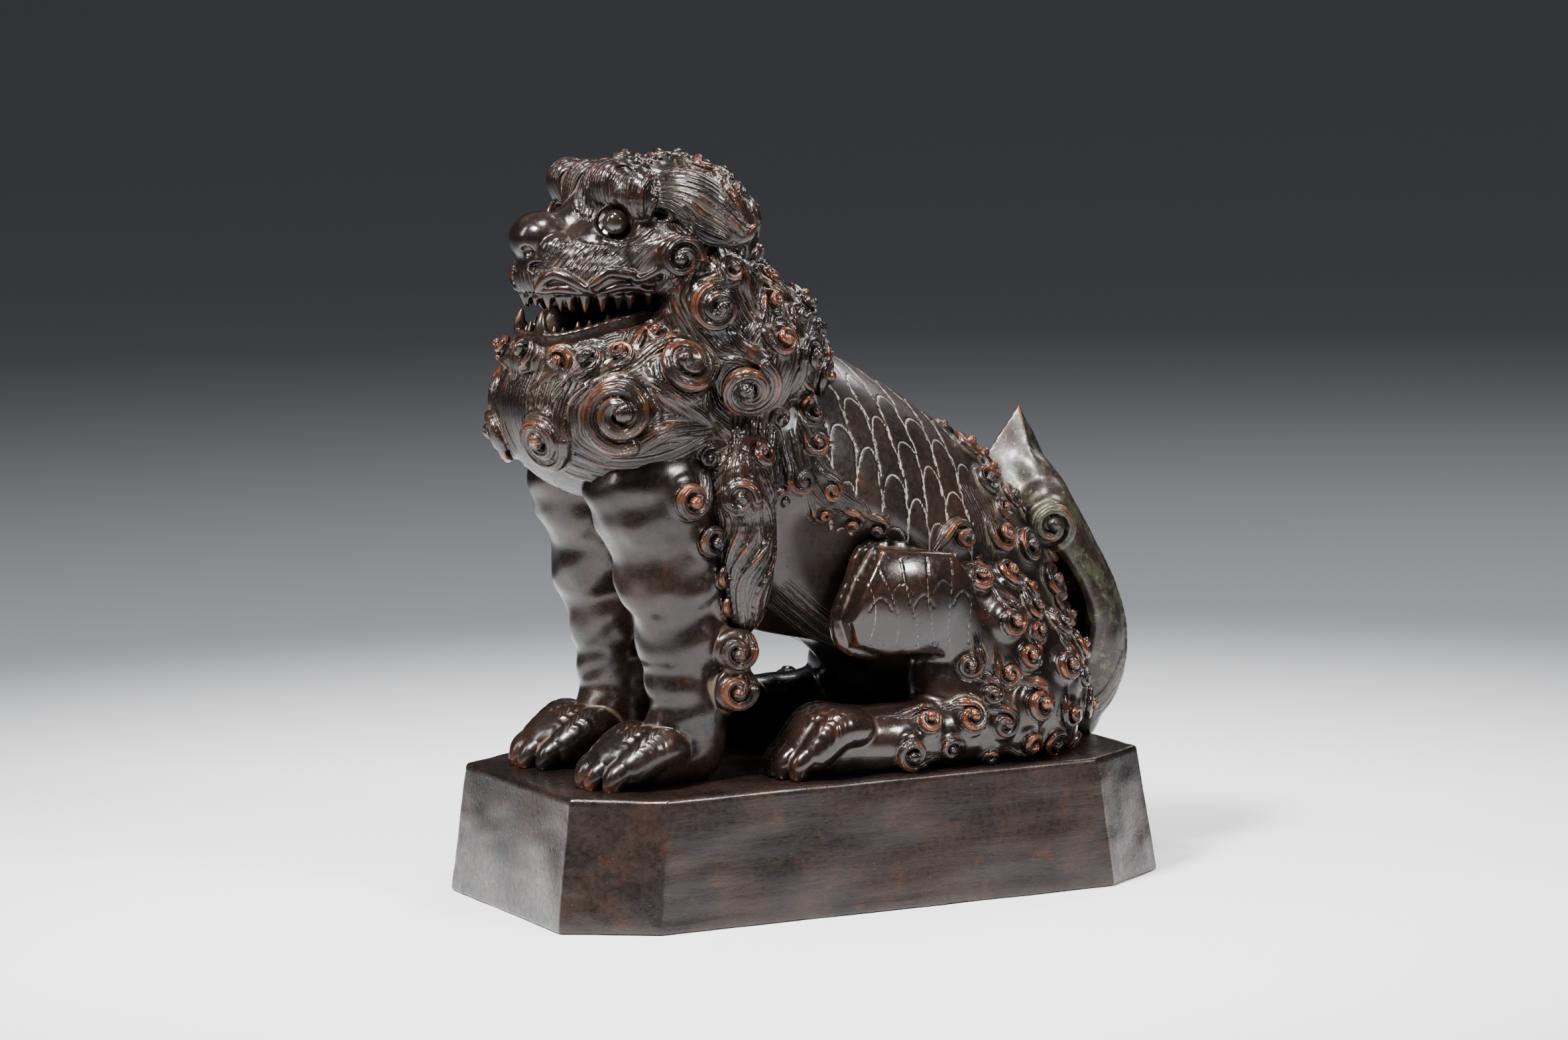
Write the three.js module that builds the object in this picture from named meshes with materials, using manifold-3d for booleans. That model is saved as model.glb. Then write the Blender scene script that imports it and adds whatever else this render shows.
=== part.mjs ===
// A seated guardian lion (foo dog) on a hollow chamfered plinth, as an assembly of bronze castings.
// Millimetres, +Z up. The lion faces -Y, so its left side is +X. The castings are hollow, their sections
// meet at sleeved or pegged joints held by rivets, and four screws come up through the plinth into the paws.
import * as THREE from "three";
import { mergeVertices } from "three/addons/utils/BufferGeometryUtils.js";
import Module from "manifold-3d";

const wasm = await Module();
wasm.setup();

// ---------- driving dimensions ----------
const PLINTH = { halfLength: 125, halfWidth: 74, height: 49, chamferX: 22, chamferY: 31, topScale: 0.945 };
const TAIL_OVERHANG = 12.3; // how far the tail stands out behind the plinth's foot
const WALL = 4; // wall of the plinth and of the hollow castings
const GAP = 0.3; // clearance between castings that meet
const SEAT = PLINTH.height; // height of the surface that the lion sits on
const SCREW = { shank: 2.5, hole: 2.9, head: 4.6, headHeight: 3, intoPaw: 7, washer: 6.5, washerThick: 1 };
const RIVET = { radius: 1.6, clearance: 0.05 };
const JAW = { halfWidth: 27, back: -58, front: -112 }; // the lower jaw seen from above
const MOUTH = { floor: 212, lip: 215, corner: 226, under: 203, roof: 229 }; // heights
const PEARL = { radius: 6.4, y: -97 };
const EYE = { radius: 7.2, x: 24, y: -82.5, z: 256 };
const NECK = { y: -48, top: 246, radius: 25, pinZ: 240, pinFrom: 42, pinTo: 20 };
const FORE_PEG = { x: 30, y: -68, bottom: 140, top: 172, radius: 6 };
const HIND_PEG = { y: 60, z: 92, inner: 36, outer: 54, radius: 6 };
const TAIL_PEG = { z: 74, inner: 90, outer: 122, radius: 6, cotterY: 95, cotterHalf: 9 };

// ---------- solids from three.js geometry ----------
function solid(geometry) {
  const plain = geometry.index ? geometry.toNonIndexed() : geometry.clone();
  plain.deleteAttribute("normal");
  plain.deleteAttribute("uv");
  const merged = mergeVertices(plain, 1e-4);
  const vertProperties = new Float32Array(merged.attributes.position.array);
  const triVerts = new Uint32Array(merged.index.array);
  return new wasm.Manifold(new wasm.Mesh({ numProp: 3, vertProperties, triVerts }));
}

function unite(solids) {
  return solids.reduce((sum, each) => sum.add(each));
}

// Drops the crumbs that a cut leaves beside the main body.
function largest(body) {
  return body.decompose().reduce((best, each) => (each.volume() > best.volume() ? each : best));
}

function cut(body, ...tools) {
  return tools.reduce((left, tool) => left.subtract(tool), body);
}

// An ellipsoid. tilt turns it about X, and fine sets how many faces it has; a shrunk one has few.
function ball([x, y, z], [rx, ry, rz], { grow = 0, tilt = 0, fine = 14 } = {}) {
  const around = grow < -1 ? Math.min(fine, 10) : fine;
  const geometry = new THREE.SphereGeometry(1, around, Math.round(around * 0.6));
  geometry.scale(rx + grow, ry + grow, rz + grow);
  geometry.rotateX(tilt);
  return solid(geometry.translate(x, y, z));
}

function rod(from, to, radius, sides = 16) {
  const a = new THREE.Vector3(...from);
  const b = new THREE.Vector3(...to);
  const geometry = new THREE.CylinderGeometry(radius, radius, a.distanceTo(b), sides);
  const along = b.clone().sub(a).normalize();
  geometry.applyQuaternion(new THREE.Quaternion().setFromUnitVectors(new THREE.Vector3(0, 1, 0), along));
  const middle = a.add(b).multiplyScalar(0.5);
  return solid(geometry.translate(middle.x, middle.y, middle.z));
}

function block([x0, y0, z0], [x1, y1, z1]) {
  const geometry = new THREE.BoxGeometry(x1 - x0, y1 - y0, z1 - z0);
  return solid(geometry.translate((x0 + x1) / 2, (y0 + y1) / 2, (z0 + z1) / 2));
}

// A rounded limb along a smooth curve. Each station is [x, y, z, half width across, half depth].
function limb(stations, { grow = 0, sides = 12, steps = 6, capRings = 2 } = {}) {
  const curve = new THREE.CatmullRomCurve3(stations.map((s) => new THREE.Vector3(s[0], s[1], s[2])));
  const around = grow < -1 ? Math.min(sides, 12) : sides;
  const sizeAt = (t, k) => {
    const at = t * (stations.length - 1);
    const i = Math.min(Math.floor(at), stations.length - 2);
    return THREE.MathUtils.lerp(stations[i][k], stations[i + 1][k], at - i) + grow;
  };
  const rings = [];
  const addRing = (t, beyond, shrink) => {
    const tangent = curve.getTangent(t);
    const across = new THREE.Vector3(1, 0, 0).addScaledVector(tangent, -tangent.x).normalize();
    const depth = across.clone().cross(tangent);
    const centre = curve.getPoint(t).addScaledVector(tangent, beyond);
    rings.push({ centre, across, depth, width: sizeAt(t, 3) * shrink, thick: sizeAt(t, 4) * shrink });
  };
  for (let k = capRings; k > 0; k--) {
    const angle = (k / capRings) * Math.PI * 0.5;
    addRing(0, -Math.min(sizeAt(0, 3), sizeAt(0, 4)) * Math.sin(angle), Math.max(Math.cos(angle), 0.02));
  }
  for (let k = 0; k <= steps; k++) addRing(k / steps, 0, 1);
  for (let k = 1; k <= capRings; k++) {
    const angle = (k / capRings) * Math.PI * 0.5;
    addRing(1, Math.min(sizeAt(1, 3), sizeAt(1, 4)) * Math.sin(angle), Math.max(Math.cos(angle), 0.02));
  }
  // A unit cylinder's rings are moved onto the limb's rings.
  const geometry = new THREE.CylinderGeometry(1, 1, 1, around, rings.length - 1);
  const position = geometry.attributes.position;
  for (let i = 0; i < position.count; i++) {
    const ring = rings[Math.round((position.getY(i) + 0.5) * (rings.length - 1))];
    const moved = ring.centre
      .clone()
      .addScaledVector(ring.across, position.getX(i) * ring.width)
      .addScaledVector(ring.depth, position.getZ(i) * ring.thick);
    position.setXYZ(i, moved.x, moved.y, moved.z);
  }
  return solid(geometry);
}

// A slab seen from the side: corners are [y, z] pairs, and it runs across from -halfWidth to halfWidth.
function sideSlab(corners, halfWidth) {
  const outline = new THREE.Shape(corners.map(([y, z]) => new THREE.Vector2(y, z)));
  const geometry = new THREE.ExtrudeGeometry(outline, { depth: 2 * halfWidth, bevelEnabled: false });
  geometry.translate(0, 0, -halfWidth);
  const yAxis = new THREE.Vector3(0, 1, 0);
  const zAxis = new THREE.Vector3(0, 0, 1);
  const xAxis = new THREE.Vector3(1, 0, 0);
  return solid(geometry.applyMatrix4(new THREE.Matrix4().makeBasis(yAxis, zAxis, xAxis)));
}

const SIDES = { left: 1, right: -1 };
const both = (make) => [make(SIDES.left), make(SIDES.right)];
const belowSeat = () => block([-200, -200, -1], [200, 200, SEAT]);

// ---------- plinth ----------
function octagonPrism({ inset, bottom, top }) {
  const { halfLength, halfWidth, height, chamferX, chamferY, topScale } = PLINTH;
  const w = halfWidth - inset;
  const l = halfLength - inset;
  const x = w - chamferX + inset * 0.4;
  const y = l - chamferY + inset * 0.4;
  const corners = [[w, -y], [w, y], [x, l], [-x, l], [-w, y], [-w, -y], [-x, -l], [x, -l]];
  const outline = new THREE.Shape(corners.map((corner) => new THREE.Vector2(...corner)));
  const geometry = new THREE.ExtrudeGeometry(outline, { depth: top - bottom, bevelEnabled: false });
  geometry.translate(0, 0, bottom);
  const position = geometry.attributes.position;
  for (let i = 0; i < position.count; i++) {
    const scale = 1 - (1 - topScale) * (position.getZ(i) / height);
    position.setXY(i, position.getX(i) * scale, position.getY(i) * scale);
  }
  return solid(geometry);
}

const pawScrews = [
  { name: "fore_left", x: 30, y: -76 },
  { name: "fore_right", x: -30, y: -76 },
  { name: "hind_left", x: 46, y: 0 },
  { name: "hind_right", x: -46, y: 0 },
];

function plinth() {
  const hollow = octagonPrism({ inset: WALL, bottom: -1, top: SEAT - WALL });
  const holes = pawScrews.map(({ x, y }) => rod([x, y, 0], [x, y, SEAT + 1], SCREW.hole));
  return cut(octagonPrism({ inset: 0, bottom: 0, top: SEAT }), hollow, ...holes);
}

// ---------- outer forms of the castings; grow swells or shrinks them ----------
const SPINE = [
  [0, -46, 174, 40, 42],
  [0, -10, 154, 43, 49],
  [0, 30, 127, 45, 49],
  [0, 60, 102, 45, 44],
];
const NECK_STATIONS = [
  [0, -46, 185, NECK.radius, NECK.radius],
  [0, NECK.y, 215, NECK.radius, NECK.radius],
  [0, NECK.y, 236, NECK.radius - 4, NECK.radius - 4],
];

const torsoForms = (grow = 0) =>
  unite([
    limb(SPINE, { grow, sides: 20 }),
    ball([0, 70, 80], [45, 41, 44], { grow, fine: 18 }),
    limb(NECK_STATIONS, { grow, steps: 4 }),
  ]);

const chestForms = (grow = 0) =>
  unite([
    ball([0, -72, 182], [53, 46, 42], { grow, fine: 18 }),
    ball([0, -38, 206], [55, 44, 36], { grow, fine: 18, tilt: -0.35 }),
    ball([0, -42, 166], [50, 40, 38], { grow, tilt: 0.4 }),
  ]);

const maneForms = (grow = 0) =>
  unite([
    chestForms(grow),
    ...both((side) => ball([side * 37, -52, 226], [15, 20, 22], { grow, fine: 12 })),
  ]);

const elbowHair = (side, grow) => {
  const stations = [[side * 45, -44, 152, 5, 16], [side * 44, -42, 126, 6, 13], [side * 41, -41, 104, 3, 5]];
  return limb(stations, { grow, steps: 4, sides: 10 });
};

const skullForms = (grow = 0) =>
  unite([
    ball([0, -52, 250], [40, 37, 32], { grow, fine: 18 }),
    limb([[0, -58, 247, 30, 17], [0, -84, 243, 25, 14], [0, -100, 241, 19, 12]], { grow, steps: 4 }),
  ]);

const headForms = (grow = 0) =>
  unite([
    skullForms(grow),
    ball([0, -103, 249], [13.5, 12, 10], { grow, fine: 12 }),
    ball([0, -74, 267], [27, 17, 13], { grow, fine: 12 }),
    ...both((side) => ball([side * 19, -83, 267], [15, 12, 7], { grow, fine: 12 })),
    ...both((side) => ball([side * 29, -62, 242], [14, 19, 15], { grow, fine: 12 })),
  ]);

const earForm = (side) => {
  const root = [side * 30, -60, 270, 8, 7];
  const fold = [side * 41, -50, 264, 8, 10];
  const hang = [side * 46, -42, 252, 5, 7];
  const tip = [side * 51, -37, 250, 1.5, 2.5];
  return limb([root, fold, hang, tip], { sides: 10 });
};

const foreLegForms = (side) => {
  const x = side * 30;
  const lift = (offset) => Math.abs(offset) * 0.4;
  const toe = (offset) => ball([x + offset, -97 + lift(offset), 55], [5, 8, 7], { fine: 8 });
  const toes = [-12, -4, 4, 12].map(toe);
  const stations = [
    [side * 28, -72, 156, 22, 25],
    [side * 30, -68, 134, 19, 20],
    [side * 31, -63, 110, 15, 15],
    [side * 31, -61, 84, 13, 14],
    [side * 31, -61, 60, 14, 14],
  ];
  const tuft = ball([side * 39, -49, 88], [8, 9, 16], { fine: 8 });
  const paw = ball([x, -80, 56], [17, 23, 13], { fine: 12 });
  return unite([limb(stations, { steps: 7 }), paw, tuft, ...toes]);
};

const hindLegForms = (side) => {
  const x = side * 46;
  const lift = (offset) => Math.abs(offset) * 0.4;
  const toe = (offset) => ball([x + offset, -26 + lift(offset), 54], [4.5, 7, 6.5], { fine: 8 });
  const thigh = [[x, 10, 112, 14, 19], [side * 47, 22, 113, 16, 21], [x, 44, 110, 15, 21]];
  const shin = [[side * 48, 60, 62, 12, 13], [side * 49, 26, 61, 12, 12], [side * 47, 0, 60, 12, 12]];
  return unite([
    limb(thigh, { steps: 4 }),
    ball([side * 38, 62, 84], [23, 35, 38]),
    limb(shin, { steps: 4 }),
    ball([x, -12, 58], [14, 18, 14], { fine: 10 }),
    ...[-9, -3, 3, 9].map(toe),
  ]);
};

const TAIL_STATIONS = [
  [0, 113, 62, 13, 11],
  [0, 124, 82, 22, 12],
  [0, 123, 106, 24, 13],
  [0, 113, 130, 24, 15],
  [0, 102, 152, 17, 13],
  [0, 96, 175, 1.5, 1.5],
];
const tailForms = () =>
  unite([
    limb(TAIL_STATIONS, { sides: 16, steps: 10 }),
    ...both((side) => ball([side * 20, 108, 141], [8, 13, 13], { fine: 12 })),
  ]);

// ---------- mouth ----------
// The jaw's outline seen from above, drawn in by inset.
function jawOutline(inset) {
  const { halfWidth, back, front } = JAW;
  const w = halfWidth - inset;
  const f = front + inset;
  const side = front * 0.6 + back * 0.4;
  const outline = new THREE.Shape();
  outline.moveTo(-w, back);
  outline.bezierCurveTo(-w, side, -w * 0.8, f, 0, f);
  outline.bezierCurveTo(w * 0.8, f, w, side, w, back);
  return outline;
}

function jawPrism(inset, bottom, top) {
  const options = { depth: top - bottom, bevelEnabled: false, curveSegments: 8 };
  const geometry = new THREE.ExtrudeGeometry(jawOutline(inset), options);
  return solid(geometry.translate(0, 0, bottom));
}

// A tooth: a small cone on or under the lip line, length measured towards its point.
function tooth(x, y, z, length, radius) {
  const geometry = new THREE.ConeGeometry(radius, Math.abs(length), 8);
  if (length < 0) geometry.rotateX(Math.PI);
  geometry.rotateX(Math.PI / 2);
  return solid(geometry.translate(x, y, z + length / 2));
}

// Everything above the lower lip, which climbs from the chin to the corners of the mouth.
const aboveLip = () => {
  const { front, back } = JAW;
  const { lip, corner, roof } = MOUTH;
  const lipLine = [[front - 20, lip], [front + 8, lip], [back - 4, corner], [back + 20, corner]];
  return sideSlab([...lipLine, [back + 20, roof + 10], [front - 20, roof + 10]], 60);
};

// The mouth's space is wider than the jaw by the clearance, and open in front of the chin.
const mouthSpace = () => {
  const opening = block([-60, -140, MOUTH.lip - 6], [60, -84, MOUTH.roof]);
  return jawPrism(-GAP, MOUTH.under - GAP, MOUTH.roof).add(opening);
};

// ---------- castings ----------
const neckCore = () => rod([0, NECK.y, 180], [0, NECK.y, NECK.top + 20], NECK.radius - 8, 16);
const forePeg = (side, grow) => {
  const { x, y, bottom, top, radius } = FORE_PEG;
  return rod([side * x, y, bottom], [side * x, y, top + grow], radius + grow);
};
const hindPeg = (side, grow) => {
  const { y, z, inner, outer, radius } = HIND_PEG;
  return rod([side * (inner - grow), y, z], [side * outer, y, z], radius + grow);
};
const tailPeg = (grow) => {
  const { z, inner, outer, radius } = TAIL_PEG;
  return rod([0, inner - grow, z], [0, outer, z], radius + grow);
};
const eyeBall = (side, grow) => {
  const radius = EYE.radius;
  return ball([side * EYE.x, EYE.y, EYE.z], [radius, radius, radius], { grow, fine: 16 });
};

const rivetList = both((side) => {
  const hand = side > 0 ? "left" : "right";
  const headPin = [[side * NECK.pinFrom, NECK.y, NECK.pinZ], [side * NECK.pinTo, NECK.y, NECK.pinZ]];
  const manePin = [[side * 45.5, -46, 187], [side * 35.5, -46, 187]];
  return [
    { name: "head_rivet_" + hand, from: headPin[0], to: headPin[1] },
    { name: "mane_rivet_" + hand, from: manePin[0], to: manePin[1] },
  ];
}).flat();
const rivetHoles = () => rivetList.map(({ from, to }) => rod(from, to, RIVET.radius + RIVET.clearance, 10));

function torso() {
  const corePrint = rod([0, 70, SEAT - 1], [0, 70, SEAT + 20], 26, 20);
  const shell = cut(torsoForms(), torsoForms(-WALL), corePrint, neckCore(), belowSeat());
  const legSockets = both((side) => [forePeg(side, GAP), hindPeg(side, GAP)]).flat();
  return cut(shell, ...legSockets, tailPeg(GAP), ...rivetHoles());
}

function mane() {
  const outside = unite([maneForms(), ...both((side) => elbowHair(side, 0))]);
  const inside = [chestForms(-WALL - 0.5), torsoForms(GAP), headForms(GAP), mouthSpace()];
  return largest(cut(outside, ...inside, ...both((side) => forePeg(side, GAP)), ...rivetHoles()));
}

function head() {
  const outside = unite([headForms(), ...both(earForm)]);
  const upperTeeth = both((side) => tooth(side * 12, -98, MOUTH.roof + 3, -10, 2.4));
  const inside = cut(skullForms(-WALL), block([-60, -130, 0], [60, 0, MOUTH.roof + WALL]));
  const shell = cut(outside, inside, torsoForms(GAP), mouthSpace());
  return cut(unite([shell, ...upperTeeth]), ...both((side) => eyeBall(side, 0.2)), ...rivetHoles());
}

function lowerJaw() {
  const dish = jawPrism(WALL, MOUTH.floor, MOUTH.roof + 1);
  const lowerTeeth = both((side) => tooth(side * 10, -107, MOUTH.lip - 0.5, 8, 2));
  const bowl = cut(jawPrism(0, MOUTH.under, MOUTH.roof - GAP), dish, aboveLip());
  return cut(unite([bowl, ...lowerTeeth]), torsoForms(GAP));
}

function pawScrewHole({ x, y }) {
  return rod([x, y, SEAT - 1], [x, y, SEAT + SCREW.intoPaw + 0.5], SCREW.shank + 0.1);
}

function foreLeg(side, screw) {
  const around = [torsoForms(GAP), maneForms(GAP), elbowHair(side, GAP), belowSeat()];
  const leg = cut(foreLegForms(side), ...around, pawScrewHole(screw));
  return unite([leg, forePeg(side, 0)]);
}

function hindLeg(side, screw) {
  const leg = cut(hindLegForms(side), torsoForms(GAP), belowSeat(), pawScrewHole(screw));
  return unite([leg, hindPeg(side, 0)]);
}

function cotter(radius, beyond) {
  const { z, cotterY, cotterHalf } = TAIL_PEG;
  return rod([-cotterHalf - beyond, cotterY, z], [cotterHalf + beyond, cotterY, z], radius, 12);
}

function tail() {
  const blade = cut(tailForms(), torsoForms(GAP), belowSeat());
  return cut(unite([blade, tailPeg(0)]), cotter(RIVET.radius + RIVET.clearance, 5));
}

function pawScrew({ x, y }) {
  const headTop = SEAT - WALL - SCREW.washerThick;
  const head = rod([x, y, headTop - SCREW.headHeight], [x, y, headTop], SCREW.head);
  return unite([head, rod([x, y, headTop - 1], [x, y, SEAT + SCREW.intoPaw], SCREW.shank)]);
}

function washer({ x, y }) {
  const top = SEAT - WALL;
  const disc = rod([x, y, top - SCREW.washerThick], [x, y, top], SCREW.washer);
  return cut(disc, rod([x, y, top - 5], [x, y, top + 5], SCREW.hole));
}

function pearl() {
  const radius = PEARL.radius;
  return ball([0, PEARL.y, MOUTH.floor + GAP + radius], [radius, radius, radius], { fine: 18 });
}

// ---------- assembly ----------
const bronze = new THREE.MeshStandardMaterial({ color: 0x2b1d17, roughness: 0.35, metalness: 0.8 });
const paleBronze = new THREE.MeshStandardMaterial({ color: 0x4a433b, roughness: 0.4, metalness: 0.7 });
const darkBead = new THREE.MeshStandardMaterial({ color: 0x0c0908, roughness: 0.12, metalness: 0.1 });
const rawBrass = new THREE.MeshStandardMaterial({ color: 0x8a6a3a, roughness: 0.5, metalness: 0.9 });

const lion = new THREE.Group();
lion.position.y = -TAIL_OVERHANG / 2; // puts the origin under the middle of the whole object

function add(name, body, material) {
  const { vertProperties, triVerts } = body.getMesh();
  const geometry = new THREE.BufferGeometry();
  geometry.setAttribute("position", new THREE.BufferAttribute(new Float32Array(vertProperties), 3));
  geometry.setIndex([...triVerts]);
  geometry.computeVertexNormals();
  const mesh = new THREE.Mesh(geometry, material);
  mesh.name = name;
  lion.add(mesh);
}

add("plinth", plinth(), bronze);
add("torso", torso(), bronze);
add("mane", mane(), bronze);
add("head", head(), bronze);
add("lower_jaw", lowerJaw(), bronze);
add("pearl", pearl(), darkBead);
for (const [hand, side] of Object.entries(SIDES)) {
  const screwFor = (leg) => pawScrews.find((screw) => screw.name === leg + "_" + hand);
  add("eye_" + hand, eyeBall(side, 0), darkBead);
  add("foreleg_" + hand, foreLeg(side, screwFor("fore")), bronze);
  add("hindleg_" + hand, hindLeg(side, screwFor("hind")), bronze);
}
add("tail", tail(), paleBronze);
add("tail_cotter", cotter(RIVET.radius, 0), rawBrass);
for (const { name, from, to } of rivetList) add(name, rod(from, to, RIVET.radius, 10), rawBrass);
for (const screw of pawScrews) {
  add("screw_" + screw.name, pawScrew(screw), rawBrass);
  add("washer_" + screw.name, washer(screw), rawBrass);
}

export default lion;
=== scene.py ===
"""Looks for the seated guardian lion: bronze castings built as distance fields inside the CAD frame."""

import math

import bpy
import numpy as np
import openvdb
from mathutils import Matrix, Vector, kdtree


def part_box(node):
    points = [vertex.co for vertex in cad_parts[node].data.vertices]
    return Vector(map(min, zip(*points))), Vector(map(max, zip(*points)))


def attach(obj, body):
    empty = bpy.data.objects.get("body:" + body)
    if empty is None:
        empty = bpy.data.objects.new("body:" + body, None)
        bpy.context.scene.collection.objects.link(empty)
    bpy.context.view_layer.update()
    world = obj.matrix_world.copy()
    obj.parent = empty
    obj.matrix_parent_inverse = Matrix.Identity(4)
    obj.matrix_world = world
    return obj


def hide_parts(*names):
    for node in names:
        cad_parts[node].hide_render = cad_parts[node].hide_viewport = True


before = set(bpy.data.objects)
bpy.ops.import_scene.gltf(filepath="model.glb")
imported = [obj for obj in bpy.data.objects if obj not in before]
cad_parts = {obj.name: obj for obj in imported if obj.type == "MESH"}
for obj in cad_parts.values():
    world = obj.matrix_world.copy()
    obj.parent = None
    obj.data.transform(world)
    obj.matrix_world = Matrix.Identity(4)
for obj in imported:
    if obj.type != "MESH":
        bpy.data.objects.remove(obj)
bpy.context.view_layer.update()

MM = 0.001
PLINTH_LOW, PLINTH_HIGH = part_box("plinth")
ORIGIN = np.array([(PLINTH_LOW.x + PLINTH_HIGH.x) / 2, (PLINTH_LOW.y + PLINTH_HIGH.y) / 2, PLINTH_LOW.z])
SEAT = (PLINTH_HIGH.z - PLINTH_LOW.z) / MM
BAND = 6.0  # how far from the surface a field holds true distances
UP = np.array([0.0, 0.0, 1.0])
MIRROR = np.array([-1.0, 1.0, 1.0])


# ---------------------------------------------------------------- fields
def unit(v):
    v = np.asarray(v, float)
    return v / np.maximum(np.linalg.norm(v, axis=-1, keepdims=True), 1e-9)


def turn_matrix(turn):
    x, y, z = (math.radians(a) for a in turn)
    rx = np.array([[1, 0, 0], [0, math.cos(x), -math.sin(x)], [0, math.sin(x), math.cos(x)]])
    ry = np.array([[math.cos(y), 0, math.sin(y)], [0, 1, 0], [-math.sin(y), 0, math.cos(y)]])
    rz = np.array([[math.cos(z), -math.sin(z), 0], [math.sin(z), math.cos(z), 0], [0, 0, 1]])
    return rz @ ry @ rx


class Field:
    """A distance field on a grid, in millimetres about the middle of the plinth's foot. Negative inside."""

    def __init__(self, low, high, voxel):
        self.low = np.array(low, float)
        self.voxel = voxel
        self.count = np.ceil((np.array(high) - self.low) / voxel).astype(int) + 1
        self.d = np.full(self.count, BAND, np.float32)
        self.base = None
        self.locks = []

    def window(self, low, high):
        i0 = np.clip(np.floor((low - self.low) / self.voxel).astype(int), 0, self.count)
        i1 = np.clip(np.ceil((high - self.low) / self.voxel).astype(int) + 1, 0, self.count)
        if (i1 - i0 <= 0).any():
            return None
        axes = [(self.low[k] + self.voxel * np.arange(i0[k], i1[k])).astype(np.float32) for k in range(3)]
        where = tuple(slice(a, b) for a, b in zip(i0, i1))
        return where, axes[0][:, None, None], axes[1][None, :, None], axes[2][None, None, :]

    def merge(self, where, d, k, cut=False):
        old = self.d[where]
        if cut:
            h = np.clip(0.5 - 0.5 * (old + d) / k, 0, 1)
            self.d[where] = old + (-d - old) * h + k * h * (1 - h)
        else:
            h = np.clip(0.5 + 0.5 * (old - d) / k, 0, 1)
            self.d[where] = old + (d - old) * h - k * h * (1 - h)

    def ellipsoid(self, centre, radii, turn=None, k=3.0, cut=False):
        c = np.array(centre, float)
        r = np.array(radii, float)
        reach = (r.max() if turn else r) + k + 2
        found = self.window(c - reach, c + reach)
        if found is None:
            return
        where, x, y, z = found
        x, y, z = x - c[0], y - c[1], z - c[2]
        if turn:
            m = turn_matrix(turn).astype(np.float32)
            x, y, z = (m[0, i] * x + m[1, i] * y + m[2, i] * z for i in range(3))
        k0 = np.sqrt((x / r[0]) ** 2 + (y / r[1]) ** 2 + (z / r[2]) ** 2)
        k1 = np.sqrt((x / r[0] ** 2) ** 2 + (y / r[1] ** 2) ** 2 + (z / r[2] ** 2) ** 2)
        self.merge(where, k0 * (k0 - 1) / np.maximum(k1, 1e-6), k, cut)

    def segment(self, a, b, ra, rb, k=0.5, flat=None):
        """A rounded cone from a to b. flat is (normal, factor): it is thinner along the normal."""
        a = np.asarray(a, float)
        b = np.asarray(b, float)
        reach = max(ra, rb) + k + 1.5
        found = self.window(np.minimum(a, b) - reach, np.maximum(a, b) + reach)
        if found is None:
            return
        where, x, y, z = found
        x, y, z = x - a[0], y - a[1], z - a[2]
        ab = b - a
        scale = 1.0
        if flat is not None:
            n, factor = flat
            more = 1 / factor - 1
            along = (x * n[0] + y * n[1] + z * n[2]) * more
            x, y, z = x + along * n[0], y + along * n[1], z + along * n[2]
            ab = ab + n * float(ab @ n) * more
            scale = 0.5 + 0.5 * factor
        length = max(float(ab @ ab), 1e-6)
        t = np.clip((x * ab[0] + y * ab[1] + z * ab[2]) / length, 0, 1)
        d = np.sqrt((x - t * ab[0]) ** 2 + (y - t * ab[1]) ** 2 + (z - t * ab[2]) ** 2)
        self.merge(where, ((d - (ra + (rb - ra) * t)) * scale).astype(np.float32), k)

    def prism(self, outline, z0, z1, edge=1.0, k=1.0, cut=False):
        """An upright prism over an outline of [x, y] points, its edges rounded by edge."""
        pts = np.array(outline, float)
        margin = k + 2
        found = self.window(np.array([*pts.min(0), z0]) - margin, np.array([*pts.max(0), z1]) + margin)
        if found is None:
            return
        where, x, y, z = found
        flat = polygon_distance(x[:, :, 0], y[:, :, 0], pts)[:, :, None] + edge
        tall = np.abs(z - (z0 + z1) / 2) - (z1 - z0) / 2 + edge
        self.merge(where, rounded(flat, tall, edge).astype(np.float32), k, cut)

    def slab(self, outline, xs, edge=4.0, k=2.0, crown=None, cut=False):
        """A slab across x over an outline of [y, z] points. crown, an ellipsoid, rounds its outer face."""
        pts = np.array(outline, float)
        low = np.array([xs[0], *pts.min(0)]) - k - 3
        high = np.array([xs[1], *pts.max(0)]) + k + 3
        where, x, y, z = self.window(low, high)
        flat = polygon_distance(y[0], z[0], pts)[None] + edge
        deep = np.abs(x - (xs[0] + xs[1]) / 2) - (xs[1] - xs[0]) / 2 + edge
        d = rounded(flat, deep, edge)
        if crown:
            c, r = np.array(crown[0], float), np.array(crown[1], float)
            k0 = np.sqrt(((x - c[0]) / r[0]) ** 2 + ((y - c[1]) / r[1]) ** 2 + ((z - c[2]) / r[2]) ** 2)
            round_off = (k0 - 1) * r.min()
            soft = 1.5
            h = np.clip(0.5 - 0.5 * (d - round_off) / soft, 0, 1)
            d = d + (round_off - d) * h + soft * h * (1 - h)
        self.merge(where, d.astype(np.float32), k, cut)

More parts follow.
